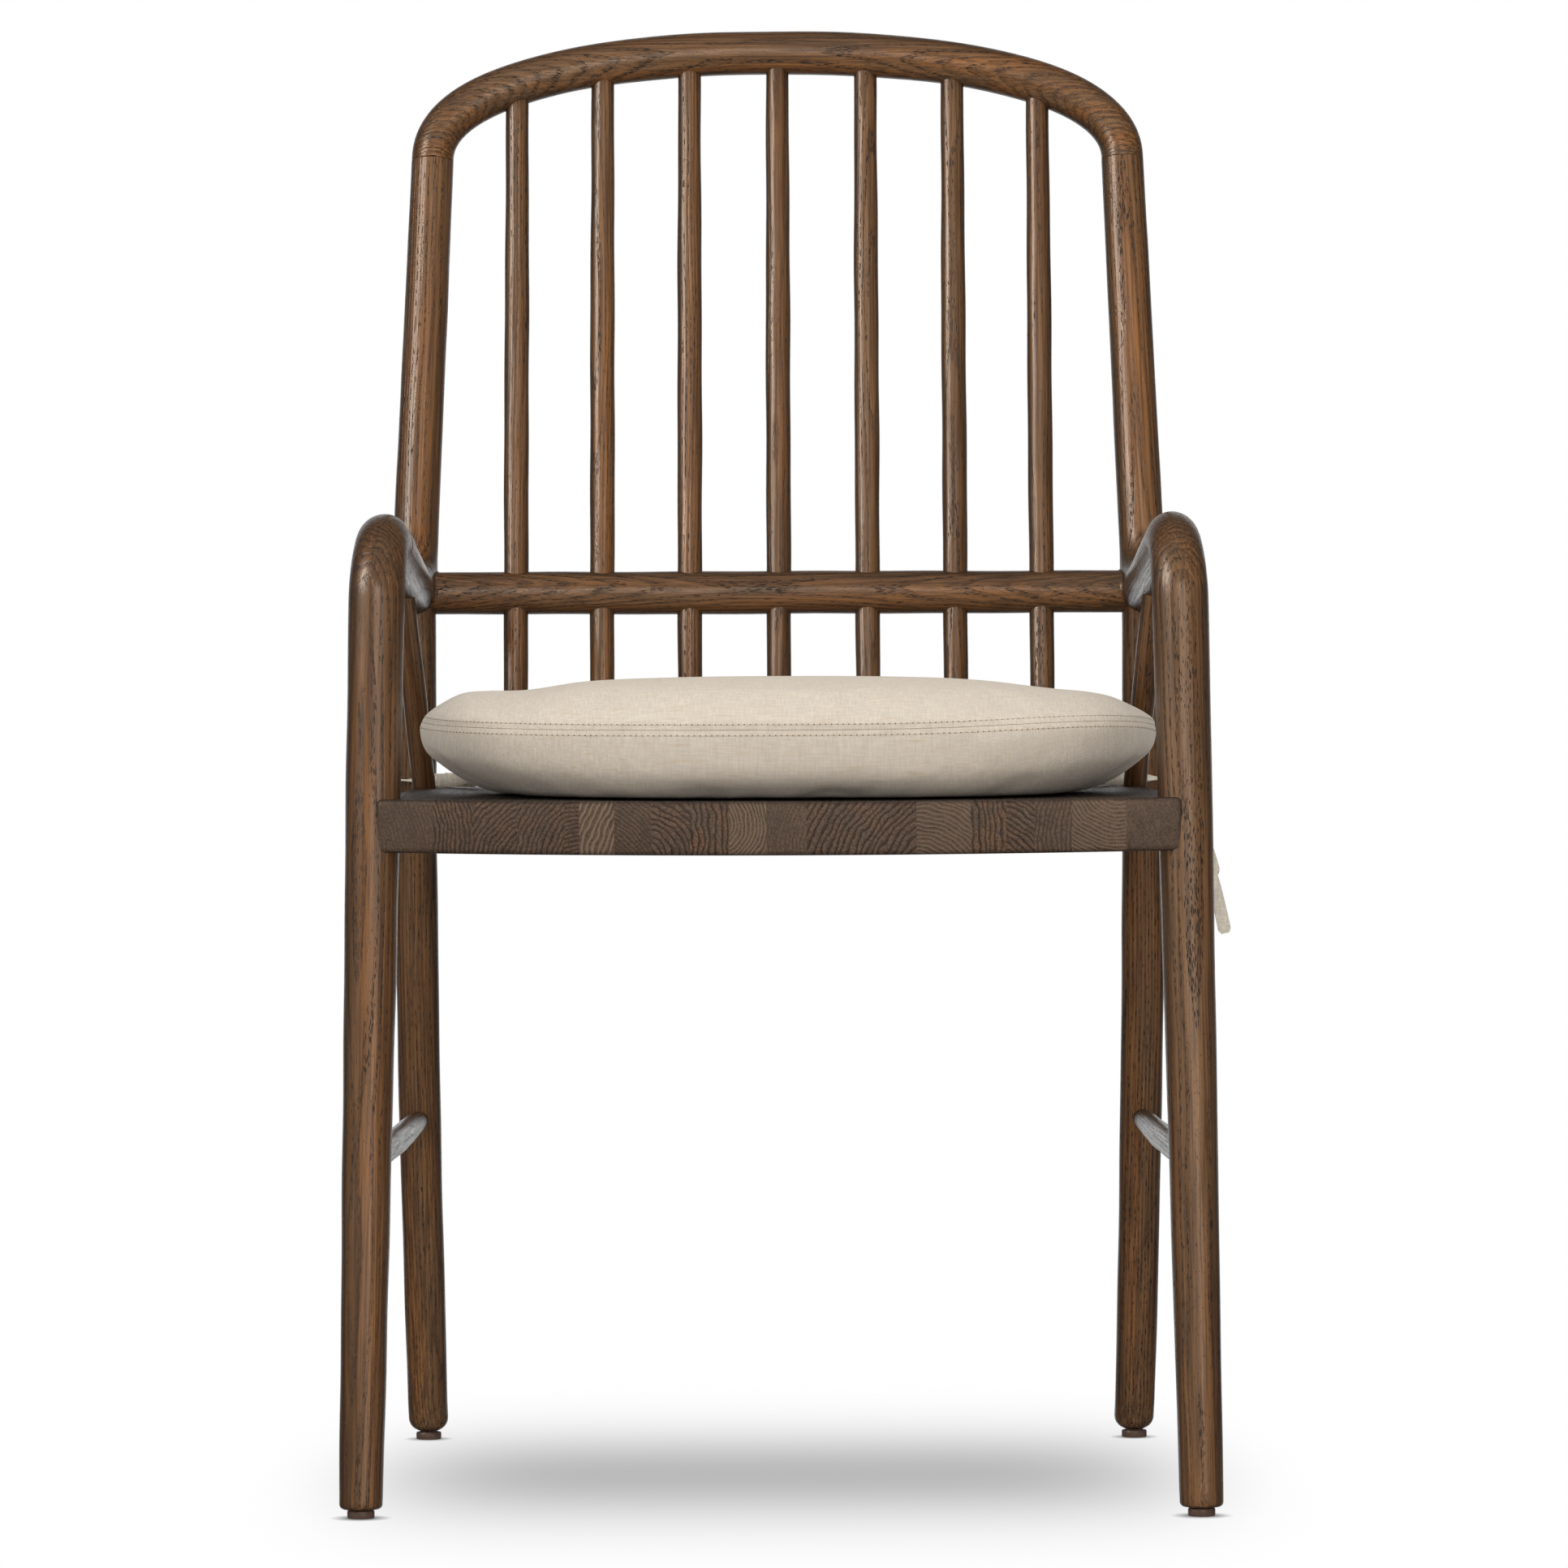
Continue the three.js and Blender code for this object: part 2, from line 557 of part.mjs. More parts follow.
const sidePieces = {
  front_leg: [
    cut(frontLeg(), [
      seatGrown, stretcherGrown, bore('arm_dowel'), bore('front_seat_dowel'), nail(FRONT_FOOT, GAP),
    ]),
    stainedOak,
  ],
  rear_leg: [
    cut(rearLeg(), [
      armGrown, seatGrown, stretcherGrown, bore('knuckle_dowel'), bore('rail_dowel'),
      bore('rear_seat_dowel'), nail(REAR_FOOT, GAP),
    ]),
    stainedOak,
  ],
  arm: [
    cut(arm(), [armSpindleGrown, bore('arm_dowel'), bore('knuckle_dowel'), bore('rail_dowel')]),
    stainedOak,
  ],
  back_post: [
    cut(backPost(), [armGrown, bore('knuckle_dowel'), bore('rail_dowel'), bore('bow_dowel')]),
    stainedOak,
  ],
  arm_spindle: [armSpindle(), stainedOak],
  side_stretcher: [sideStretcher(), stainedOak],
  ...Object.fromEntries(Object.keys(dowelLines).map((name) => [name, [dowel(name), dowelWood]])),
  front_glide: [glide(FRONT_FOOT), glidePlastic],
  rear_glide: [glide(REAR_FOOT), glidePlastic],
  front_nail: [nail(FRONT_FOOT), nailSteel],
  rear_nail: [nail(REAR_FOOT), nailSteel],
};

const bothSides = (shape) => [shape, mirrored(shape, -1)];
for (const [name, [shape, material]] of Object.entries(sidePieces)) {
  addPiece(`${name}_right`, shape, material);
  addPiece(`${name}_left`, mirrored(shape, -1), material);
}

const spindleBores = SPINDLE_PLACES.map((x) => spindle(x, GAP));
SPINDLE_PLACES.forEach((x, index) => addPiece(`spindle_${index + 1}`, spindle(x), stainedOak));

const postGrown = bar(stationsAlong(postLine, 1, (share) => postRadius(share) + GAP), X_AXIS);
const railNeighbours = [armGrown, rearLeg(GAP), postGrown, bore('rail_dowel')].flatMap(bothSides);
addPiece('back_rail', cut(backRail(), [...railNeighbours, ...spindleBores]), stainedOak);
addPiece('crest_bow', cut(crestBow(), [...spindleBores, ...bothSides(bore('bow_dowel'))]), stainedOak);

const seatBores = [armSpindleGrown, bore('front_seat_dowel'), bore('rear_seat_dowel')].flatMap(bothSides);
addPiece('seat_panel', cut(seatPanel(), [...seatBores, ...spindleBores]), stainedOak);

addPiece('seat_cushion', cushion(), linen);
for (const [name, route] of Object.entries(tapeRoutes)) {
  addPiece(name, tape(route), tapeLinen);
}
for (const [side, sign] of [['right', 1], ['left', -1]]) {
  const channels = ['front', 'back'].map((run) => tape(tapeRoutes[`tie_${run}_${side}`], GAP));
  addPiece(`tie_knot_${side}`, cut(knot(sign), channels), tapeLinen);
}

export default chair;
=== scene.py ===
"""A wooden armchair with a tied seat cushion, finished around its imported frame. Metres, +Z up.

The chair faces -Y, and +X is on the right of someone who looks at its front.
"""

import math

import bmesh
import bpy
import numpy as np
from mathutils import Matrix, Vector
from mathutils.bvhtree import BVHTree

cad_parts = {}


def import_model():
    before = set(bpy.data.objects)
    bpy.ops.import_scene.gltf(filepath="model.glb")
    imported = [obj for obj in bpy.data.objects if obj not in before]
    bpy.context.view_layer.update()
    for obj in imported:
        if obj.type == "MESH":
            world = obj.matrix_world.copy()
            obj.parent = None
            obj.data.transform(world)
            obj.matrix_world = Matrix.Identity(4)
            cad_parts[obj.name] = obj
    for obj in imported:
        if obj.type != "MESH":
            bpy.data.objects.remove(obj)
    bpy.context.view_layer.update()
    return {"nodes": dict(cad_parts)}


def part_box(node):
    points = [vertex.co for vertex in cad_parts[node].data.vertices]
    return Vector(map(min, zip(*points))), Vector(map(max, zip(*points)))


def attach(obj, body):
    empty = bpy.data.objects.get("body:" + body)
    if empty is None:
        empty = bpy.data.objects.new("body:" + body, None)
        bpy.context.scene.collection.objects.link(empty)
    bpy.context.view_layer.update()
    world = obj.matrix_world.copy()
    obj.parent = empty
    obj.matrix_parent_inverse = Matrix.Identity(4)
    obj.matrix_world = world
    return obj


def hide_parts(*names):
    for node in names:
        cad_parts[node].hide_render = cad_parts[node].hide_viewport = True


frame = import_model()

# ------------ driving dimensions

ORIGIN_DEPTH = 0.2567  # from the line through the front feet back to the middle of the chair


def at(x, depth, height):
    """A point from its place to the right, its depth behind the front feet and its height."""
    return np.array((x, depth - ORIGIN_DEPTH, height))


def box_of(node):
    low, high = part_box(node)
    return np.array(low), np.array(high)


def middle_of(node):
    low, high = box_of(node)
    return (low + high) / 2


UP = np.array((0.0, 0.0, 1.0))
TINY = 1e-9  # keeps a division by a length from failing
NEAR = 1e-4  # closer than this, two edges are the same

# Legs, arms and back, on the right-hand side.
GLIDE_HEIGHT = 0.0057
FRONT_FOOT = middle_of("front_glide_right")
REAR_FOOT = middle_of("rear_glide_right")
FRONT_FOOT[2] = REAR_FOOT[2] = GLIDE_HEIGHT
FRONT_SHOULDER = at(0.2504, 0.059, 0.568)
REAR_KNEE = at(0.2446, 0.440, 0.300)
KNUCKLE = at(0.2434, 0.420, 0.572)
ARM_START = at(0.247, 0.101, 0.6042)
BEND_HANDLE = 0.022
ARM_JOINT = 0.06
ARM_OVERRUN = 0.004
FRONT_LEG_RADIUS = {"foot": 0.0135, "seat": 0.017, "shoulder": 0.0176}
REAR_LEG_RADIUS = {"foot": 0.0134, "top": 0.0151}
ARM_RADIUS = {"front": 0.0164, "rear": 0.0152}
FRONT_FOOT_ROUNDING = 0.003
REAR_FOOT_ROUNDING = 0.009
END_EASE = 0.0005  # rounding of the plain ends, which shows as a fine line at each joint

RECLINE = math.tan(math.radians(11.5))
BACK_BOW = 0.018
BOW_JOINT = {"half_width": 0.232, "height": 0.8626}
BOW_RISE = 0.0744
BOW_FULLNESS = 2.25
BOW_RADIUS = {"joint": 0.0141, "crown": 0.0147}
RAIL_RADIUS = {"end": 0.014, "middle": 0.0144}
SPINDLE_RADIUS = {"foot": 0.0078, "middle": 0.0083, "top": 0.0076}
BOW_SOCKET = 0.009
# The hollow curves that join the posts' feet and the rail's ends to the arms.
POST_FILLET = {"reach": 0.034, "most": 0.03}
RAIL_FILLET = {"reach": 0.0025, "most": 0.0015}
HAIRLINE = 0.0001  # how far the bow and the posts stop short of their joints

# Seat, arm spindles and stretchers.
SEAT_TOP = float(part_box("seat_panel")[1][2])
SEAT_THICKNESS = 0.033
SEAT_ARRIS = 0.0034
SEAT_CUP = 0.002
SEAT = {
    "front_half": 0.2502, "rear_half": 0.242, "front": 0.027, "rear": 0.457,
    "front_bow": 0.016, "rear_bow": 0.012,
}
SEAT_SOCKET = 0.018
PALE_STAVES = 2.2  # how much the dark staves' pores are filled with pale dust
ARM_SPINDLE_FOOT = at(0.235, 0.378, SEAT_TOP)
ARM_SPINDLE_HEAD = at(0.246, 0.300, 0.585)
ARM_SPINDLE_RADIUS = {"foot": 0.0076, "middle": 0.0079, "head": 0.0072}
STRETCHER_HEIGHT = {"front": 0.2155, "rear": 0.219}
STRETCHER_RADIUS = {"end": 0.006, "middle": 0.0085}

# The seat's staves from left to right: width in mm, direction and distance in mm of the heart of
# the tree (0 degrees is to the right, 90 up), growth ring in mm, lightness and redness.
STAVES = (
    (35.7, 200, 95, 2.3, -0.10, 0.1), (24.6, 182, 60, 2.6, 0.00, 0.3), (27.6, -42, 40, 3.0, 0.05, 0.5),
    (29.1, -24, 85, 3.1, 0.08, 0.4), (9.1, -80, 60, 2.4, 0.00, 0.3), (21.5, -18, 95, 3.4, -0.45, 0.0),
    (23.1, 228, 48, 2.2, -0.05, 0.2), (23.6, 222, 24, 3.5, 0.15, 0.3), (24.1, 183, 75, 4.0, 0.10, 0.9),
    (23.1, 172, 22, 2.4, -0.40, 0.0), (24.6, -12, 80, 2.5, -0.10, 0.2), (67.8, -34, 78, 3.8, 0.12, 0.4),
    (33.6, 248, 42, 2.4, -0.35, 0.1), (21.6, 181, 90, 3.7, 0.15, 1.0), (17.6, 236, 46, 3.0, 0.10, 0.4),
    (23.1, -8, 85, 2.8, -0.05, 0.3), (33.6, 62, 36, 2.3, -0.35, 0.1), (35.2, 204, 70, 2.9, -0.15, 0.1),
)

# Looks of single pieces.
SPINDLE_TONES = (-0.1, 0.25, 0.0, -0.15, 0.05, -0.05, -0.1)
SPINDLE_WARMTHS = (0.2, 0.6, 0.25, 0.15, 0.3, 0.2, 0.3)
# Rear legs' tone: a little of it is the wood's own, the rest is painted light where the seat shades them.
REAR_LEG_TONES_AND_LIGHT = {"right": 0.14, "left": 0.34}

# Cushion.
CUSHION_BOX = box_of("seat_cushion")
SEAM_SHARE = 0.565  # height of the seam, as a share of the cushion's height
SEAM_RISES = ((-35, 0.0045, 16), (-172, 0.004, 20), (2, -0.002, 12))  # where round it, rise, spread
SEAM_GROOVE = {"depth": 0.0006, "width": 0.0022}
CUSHION_FLAT = 0.76  # share of the plan that lies flat at the sides
CUSHION_FRONT_FLAT = 0.90  # and at the front
CUSHION_EDGE = {"spread": 0.985, "side": 0.024, "front": 0.009}  # line where the skin turns under
CUSHION_SAG = {"height": 0.02, "share": 0.75}  # how it follows the hollow of the seat
CUSHION_TAPER = 0.07
CUSHION_SQUARING = 0.68
CROWN_FULLNESS = 0.34
CROWN_SWELLS = (  # place across, rise, spread
    (-0.214, 0.0042, 0.019), (-0.168, -0.0036, 0.026), (0.175, -0.0036, 0.04), (0.228, -0.0022, 0.02),
)
UNSTUFFED = 0.985  # size of the cushion's plan before it is inflated
INFLATION = {"voxel": 0.005, "pressure": 4.0, "frames": 20, "cap": 0.006}
STITCH_PITCH = 0.0036
STITCH_ROWS = (0.0034, -0.0034)
SEAM_PITCH = 0.002
# Beads of the sewing: length, radius, flatness and height above the skin.
SEAM_BEAD = (0.0022, 0.00028, 0.6, -0.00005)
STITCH_BEAD = (STITCH_PITCH * 0.68, 0.00034, 1.0, 0.0)
HOLE_BEAD = (0.0009, 0.00052, 0.35, 0.00006)

# Tie tapes.
TAPE_WIDTH = 0.009
TAPE_THICKNESS = 0.0011
TAPE_TRIM = 0.0028  # length over which a tail's corners are clipped
TAPE_TIP = 0.6  # width left at the clipped end
# Shares of a tape's length at which it starts to turn, and over which it turns.
TAPE_LIES_DOWN = (0.36, 0.12)
TAPE_FACES_OUT = (0.45, 0.55)
KNOT_TAPE = {"half_width": 0.0034, "thickness": 0.0016, "inset": 0.0022}
KNOT_FILL = np.array((0.75, 1.05, 1.05))  # how much of its box the knot fills

# Glides: places in from the rim and their heights, and shares of the radius for the rest.
GLIDE_RIM = (
    (0.0008, 0.0), (0.0003, 0.0002), (0.0, 0.0007), (0.0, 0.0041), (0.0004, 0.0048), (0.0012, 0.005),
)
GLIDE_DISC = 0.005
GLIDE_SHARES = {"floor": 0.25, "fillet": 0.74, "neck": 0.71, "socket": 0.2}

# ------------ camera

CAMERA = {"x": 0.0034, "depth": -5.150, "height": 0.553, "lens": 191.9, "down": 1.118, "roll": 0.18}


def placed(name, data):
    """A new object in the scene."""
    item = bpy.data.objects.new(name, data)
    bpy.context.scene.collection.objects.link(item)
    return item


def make_camera():
    data = bpy.data.cameras.new("camera")
    data.sensor_width = 36
    data.lens = CAMERA["lens"]
    camera = placed("camera", data)
    camera.location = at(CAMERA["x"], CAMERA["depth"], CAMERA["height"])
    camera.rotation_euler = (math.radians(90 - CAMERA["down"]), math.radians(CAMERA["roll"]), 0)
    bpy.context.scene.camera = camera


make_camera()

# ------------ mesh helpers

BAR_SIDES = 48
HAND_DEPTH = 0.00012


def unit(vectors):
    return vectors / np.linalg.norm(vectors, axis=-1, keepdims=True)


def mix(start, end, share):
    return start + (end - start) * share


def full_turn(count):
    """Angles at even steps, once round."""
    return np.linspace(0, 2 * math.pi, count, endpoint=False)


def run_along(line):
    """Distance along a line to each of its points."""
    return np.concatenate(([0], np.cumsum(np.linalg.norm(np.diff(line, axis=0), axis=1))))


def new_object(name, points, faces, sharp_angle=None):
    mesh = bpy.data.meshes.new(name)
    mesh.from_pydata([tuple(point) for point in points], [], faces)
    mesh.validate()
    mesh.update()
    build = bmesh.new()
    build.from_mesh(mesh)
    bmesh.ops.recalc_face_normals(build, faces=build.faces)
    build.to_mesh(mesh)
    build.free()
    mesh.shade_smooth()
    if sharp_angle is not None:
        mesh.set_sharp_from_angle(angle=math.radians(sharp_angle))
    return placed(name, mesh)


def finish_piece(piece, material, slot, *nodes):
    """Gives a piece its material and its body, and hides the CAD nodes that it stands for."""
    piece.data.materials.append(material)
    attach(piece, "root")
    if nodes:
        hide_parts(*nodes)


def rings(centres, radii, side, facing=None):
    """Round sections square to a line. Returns the outward directions and the points of each ring."""
    along = np.gradient(centres, axis=0)
    for row, direction in (facing or {}).items():
        along[row] = direction
    along = unit(along)
    side = np.asarray(side, float)
    across = unit(side - along * (along @ side)[:, None])
    over = np.cross(along, across)
    turn = full_turn(BAR_SIDES)[None, :, None]
    outward = np.cos(turn) * across[:, None] + np.sin(turn) * over[:, None]
    return outward, centres[:, None] + outward * radii[:, None, None]


def tube_faces(rows, count, first=0):
    faces = []
    for row in range(rows - 1):
        for step in range(count):
            after = (step + 1) % count
            low, high = first + row * count, first + (row + 1) * count
            faces.append((low + step, low + after, high + after, high + step))
    faces.append(tuple(first + step for step in range(count)))
    faces.append(tuple(first + (rows - 1) * count + step for step in range(count)))
    return faces


def eased_start(centres, radii, ease):
    """The same bar with a small rounding at its first end."""
    angles = np.radians((90, 60, 30))
    inward = unit(centres[1] - centres[0])
    lead = centres[0] + np.outer(ease * (1 - np.sin(angles)), inward)
    body = centres.copy()
    body[0] = centres[0] + inward * ease
    return np.vstack((lead, body)), np.concatenate((radii[0] - ease * (1 - np.cos(angles)), radii))


def eased(centres, radii, first=END_EASE, last=END_EASE):
    """The same bar with a small rounding at each end that has one."""
    for ease in (first, last):
        if ease:
            centres, radii = eased_start(centres, radii, ease)
        centres, radii = centres[::-1], radii[::-1]
    return centres, radii


def hand_worked(outward, points, seed):
    """Shallow unevenness, as a hand-sanded bar has."""
    rows, count = points.shape[:2]
    turn = full_turn(count)[None]
    run = run_along(points[:, 0])[:, None]
    draw = np.random.default_rng(seed)
    swell = np.zeros((rows, count))
    for lobes, length in ((1, 0.21), (2, 0.13), (3, 0.083)):
        first, second = draw.uniform(0, 2 * math.pi, 2)
        swell += np.sin(run * 2 * math.pi / length + first) * np.cos(lobes * turn + second)
    return points + outward * (swell * HAND_DEPTH)[..., None]


# ------------ lines of the chair


def straight(start, end, shares):
    return start + np.outer(shares, end - start)


def quadratic(start, control, end, shares):
    share = np.asarray(shares, float)[:, None]
    return (1 - share) ** 2 * start + 2 * share * (1 - share) * control + share**2 * end


def cubic(start, first, second, end, shares):
    share = np.asarray(shares, float)[:, None]
    rest = 1 - share
    return rest**3 * start + 3 * rest**2 * share * first + 3 * rest * share**2 * second + share**3 * end


def back_point(x, height):
    """A point of the sheet that the back's pieces lie in: reclined, and bowed back in plan."""
    bowed = BACK_BOW * (1 - (x / KNUCKLE[0]) ** 2)
    return np.array((x, KNUCKLE[1] + (height - KNUCKLE[2]) * RECLINE + bowed, height))


ARM_DIRECTION = unit(KNUCKLE - ARM_START)
BOW_END = back_point(BOW_JOINT["half_width"], BOW_JOINT["height"])
POST_DIRECTION = unit(BOW_END - KNUCKLE)
LEG_DIRECTION = unit(FRONT_SHOULDER - FRONT_FOOT)


def bow_height(x):
    share = abs(x) / BOW_JOINT["half_width"]
    return BOW_JOINT["height"] + BOW_RISE * (1 - share**BOW_FULLNESS) ** (1 / BOW_FULLNESS)


def off_skin(away, radius):
    """Distance from a bar's skin and the direction away from it, from offsets off its centre line."""
    far = np.linalg.norm(away, axis=-1)
    return far - radius, away / np.maximum(far, TINY)[..., None]


def off_line(points, start, end, first, last):
    """Distance of points from a tapering round bar, and the direction away from it."""
    along = end - start
    share = np.clip(((points - start) @ along) / (along @ along), 0, 1)
    return off_skin(points - (start + share[..., None] * along), mix(first, last, share))


def flared(centres, outward, points, own, others, reach, most):
    """Moves a bar's points outward to the hollow curve that joins it to its neighbours."""
    radius = np.linalg.norm(points - centres[:, None], axis=-1)
    start = radius.copy()
    for _ in range(24):
        place = centres[:, None] + outward * radius[..., None]
        here, own_way = own(place)
        step = np.full_like(radius, np.inf)
        for other in others:
            there, other_way = other(place)
            turn = 1 - np.clip((own_way * other_way).sum(-1), 0, 1)
            width = np.maximum(reach * turn, 1e-6)
            blend = np.clip(width - np.abs(here - there), 0, None) / width
            step = np.minimum(step, np.minimum(here, there) - blend**2 * width / 4)
        radius = np.clip(radius - step * 0.7, start, start + most)
    return centres[:, None] + outward * radius[..., None]


def arm_distance(points):
    end = KNUCKLE + ARM_DIRECTION * ARM_OVERRUN
    return off_line(points, ARM_START, end, ARM_RADIUS["front"], ARM_RADIUS["rear"])


def post_distance(points):
    return off_line(points, KNUCKLE, BOW_END, REAR_LEG_RADIUS["top"], BOW_RADIUS["joint"])


# ------------ materials


class Graph:
    """A node tree, with short calls for the nodes that the finishes use."""

    def __init__(self, tree):
        self.tree = tree

    def add(self, kind, inputs=None, **settings):
        node = self.tree.nodes.new("ShaderNode" + kind)
        for key, value in settings.items():
            setattr(node, key, value)
        for key, value in (inputs or {}).items():
            self.feed(node.inputs[key], value)
        return node

    def feed(self, socket, value):
        if isinstance(value, bpy.types.NodeSocket):
            self.tree.links.new(value, socket)
        elif isinstance(value, tuple) and len(value) < len(socket.default_value):
            socket.default_value = (*value, 1)
        else:
            socket.default_value = value

    def math(self, operation, first, second=0.0, clamp=False):
        return self.add("Math", {0: first, 1: second}, operation=operation, use_clamp=clamp).outputs[0]

    def plus(self, first, second):
        return self.math("ADD", first, second)

    def times(self, first, second, clamp=False):
        return self.math("MULTIPLY", first, second, clamp)

    def vector(self, operation, first, second=(0, 0, 0)):
        node = self.add("VectorMath", {0: first, 1: second}, operation=operation)
        return node.outputs["Value" if operation == "LENGTH" else "Vector"]

    def scaled(self, place, scales):
        return self.vector("MULTIPLY", place, scales)

    def noise(self, place, scale, detail=2.0, roughness=0.5, output="Fac"):
        inputs = {"Vector": place, "Scale": scale, "Detail": detail, "Roughness": roughness}
        return self.add("TexNoise", inputs).outputs[output]

    def wander(self, place, scale, reach, detail=2.0):
        """A small offset that drifts from place to place."""
        drift = self.noise(place, scale, detail, output="Color")
        return self.scaled(self.vector("SUBTRACT", drift, (0.5, 0.5, 0.5)), reach)

    def spread(self, value, low, high):
        """The value's run from low to high, as 0 to 1."""
        return self.add("MapRange", {"Value": value, "From Min": low, "From Max": high}).outputs["Result"]

    def mix(self, share, first, second):
        # The node has sockets for numbers, vectors and colours; these are the ones for colours.
        return self.add("Mix", {0: share, 6: first, 7: second}, data_type="RGBA").outputs[2]

    def layered(self, colour, layers):
        """The colour with others laid over it in turn, each by its own share."""
        for share, other in layers:
            colour = self.mix(share, colour, other)
        return colour

    def ramp(self, value, stops):
        node = self.add("ValToRGB", {"Fac": value})
        line = node.color_ramp.elements
        while len(line) < len(stops):
            line.new(0.5)
        for element, (place, shade) in zip(line, stops):
            element.position = place
            element.color = (shade, shade, shade, 1)
        return node.outputs["Color"]

    def axes(self, place):
        return self.add("SeparateXYZ", {0: place}).outputs

    def own(self, name):
        """A number that the object itself carries."""
        return self.add("Attribute", attribute_type="OBJECT", attribute_name=name).outputs["Fac"]


class Finish(Graph):
    """A material, built up from its shader and the place on the object."""

    def __init__(self, name):
        self.material = bpy.data.materials.new(name)
        self.material.use_nodes = True
        super().__init__(self.material.node_tree)
        self.shader = self.tree.nodes["Principled BSDF"]
        self.place = self.add("TexCoord").outputs["Object"]

    def surface(self, values):
        """Sets the shader's own sockets."""
        for socket, value in values.items():
            self.feed(self.shader.inputs[socket], value)

    def bump(self, height, distance, strength):
        inputs = {"Height": height, "Distance": distance, "Strength": strength}
        self.surface({"Normal": self.add("Bump", inputs).outputs["Normal"]})

    def drawn_out(self, scales, detail=2.0, roughness=0.5):
        """Noise with its own scale along each axis."""
        return self.noise(self.scaled(self.place, scales), 1.0, detail, roughness)


RING_RAMP = ((0.0, 0.1), (0.06, 1.0), (0.30, 0.8), (0.52, 0.1), (1.0, 0.0))
# Painted shade of the wood towards its outline: how it grows with the slant, and its colour.
PAINTED_EDGE_RAMP = ((0.0, 0.0), (0.13, 0.12), (0.4, 0.42), (0.7, 0.66), (1.0, 0.75))
PAINTED_EDGE_SHADE = (0.006, 0.004, 0.003)


def wood(name, tints, rough, shine, banding):
    """Ring-porous hardwood under dark stain and satin lacquer. In an object's own axes its grain runs
    along Z, and the tree's heart is the Z axis."""
    graph = Finish(name)
    place = graph.place
    drift = graph.wander(graph.scaled(place, (7.0, 7.0, 2.6)), 1.0, (0.022, 0.022, 0.0))
    flat = graph.scaled(graph.vector("ADD", place, drift), (1.0, 1.0, 0.0))

    # Growth rings: a sharp start of large pores each spring, fading into denser wood.
    years = graph.math("DIVIDE", graph.vector("LENGTH", flat), graph.own("ring"))
    years = graph.plus(years, graph.times(graph.noise(flat, 90.0, 1.0), 1.6))
    early = graph.ramp(graph.math("FRACT", years), RING_RAMP)

    # Pores: long cells, open in the early wood and in patches.
    grain = graph.scaled(place, (1.0, 1.0, 0.14))
    ragged = graph.vector("ADD", grain, graph.wander(grain, 900.0, (0.0007,) * 3, 1.0))
    cell = graph.add("TexVoronoi", {"Vector": ragged, "Scale": 1150.0}).outputs["Distance"]
    wide = graph.plus(graph.times(early, 0.27), 0.12)
    patch = graph.spread(graph.drawn_out((60.0, 60.0, 4.0)), 0.38, 0.54)
    pore = graph.spread(graph.math("SUBTRACT", wide, cell), -0.03, 0.05)
    pore = graph.times(pore, graph.plus(graph.times(patch, 0.5), 0.5))

    fibre = graph.drawn_out((2100.0, 2100.0, 38.0), 3.0)
    line = graph.drawn_out((760.0, 760.0, 11.0))
    streak = graph.drawn_out((190.0, 190.0, 5.5), 3.0, 0.6)
    cloud = graph.drawn_out((22.0, 22.0, 3.0))
    lightness = graph.plus(graph.spread(cloud, 0.3, 0.7), graph.own("tone"))
    warm = graph.spread(graph.drawn_out((70.0, 70.0, 3.4)), 0.42, 0.66)
    colour = graph.mix(graph.spread(streak, 0.12, 0.60), tints["deep"], tints["body"])
    colour = graph.layered(colour, (
        (graph.times(lightness, 0.6, clamp=True), tints["light"]),
        (graph.times(warm, graph.plus(graph.own("warmth"), 0.1), clamp=True), tints["warm"]),
        (graph.times(graph.spread(line, 0.44, 0.60), 0.55), tints["deep"]),
        (graph.times(graph.spread(fibre, 0.40, 0.70), 0.40), tints["deep"]),
        (graph.times(early, banding), graph.mix(graph.own("pale"), tints["deep"], tints["filled"])),
        (graph.times(pore, 0.88), graph.mix(graph.own("pale"), tints["pore"], tints["filled"])),
    ))
    # Painted shade: the colour darkens towards each piece's outline, where its surface turns away from
    # the eye.
    painted_edge_shade = graph.ramp(graph.add("LayerWeight", {"Blend": 0.5}).outputs["Facing"], PAINTED_EDGE_RAMP)
    gloss = graph.plus(graph.times(pore, 0.3), rough)
    graph.surface({
        "Base Color": graph.mix(painted_edge_shade, colour, PAINTED_EDGE_SHADE),
        "Roughness": graph.plus(gloss, graph.times(graph.spread(line, 0.3, 0.7), 0.14)),
        "IOR": 1.5, "Specular IOR Level": shine,
    })
    relief = graph.plus(graph.times(fibre, 0.22), graph.times(early, -0.22))
    graph.bump(graph.math("SUBTRACT", relief, pore), 0.0004, 0.9)
    return graph.material


STAIN = {
    "deep": (0.040, 0.018, 0.008), "body": (0.188, 0.088, 0.033), "light": (0.285, 0.150, 0.066),
    "warm": (0.335, 0.130, 0.032), "pore": (0.008, 0.004, 0.002), "filled": (0.30, 0.20, 0.12),
}
SEAT_STAIN = {
    "deep": (0.032, 0.019, 0.012), "body": (0.108, 0.065, 0.042), "light": (0.170, 0.107, 0.069),
    "warm": (0.180, 0.091, 0.047), "pore": (0.012, 0.008, 0.006), "filled": (0.215, 0.145, 0.095),
}
STAINED_WOOD = wood("stained_wood", STAIN, 0.24, 0.5, 0.36)
SEAT_WOOD = wood("seat_wood", SEAT_STAIN, 0.42, 0.25, 0.85)


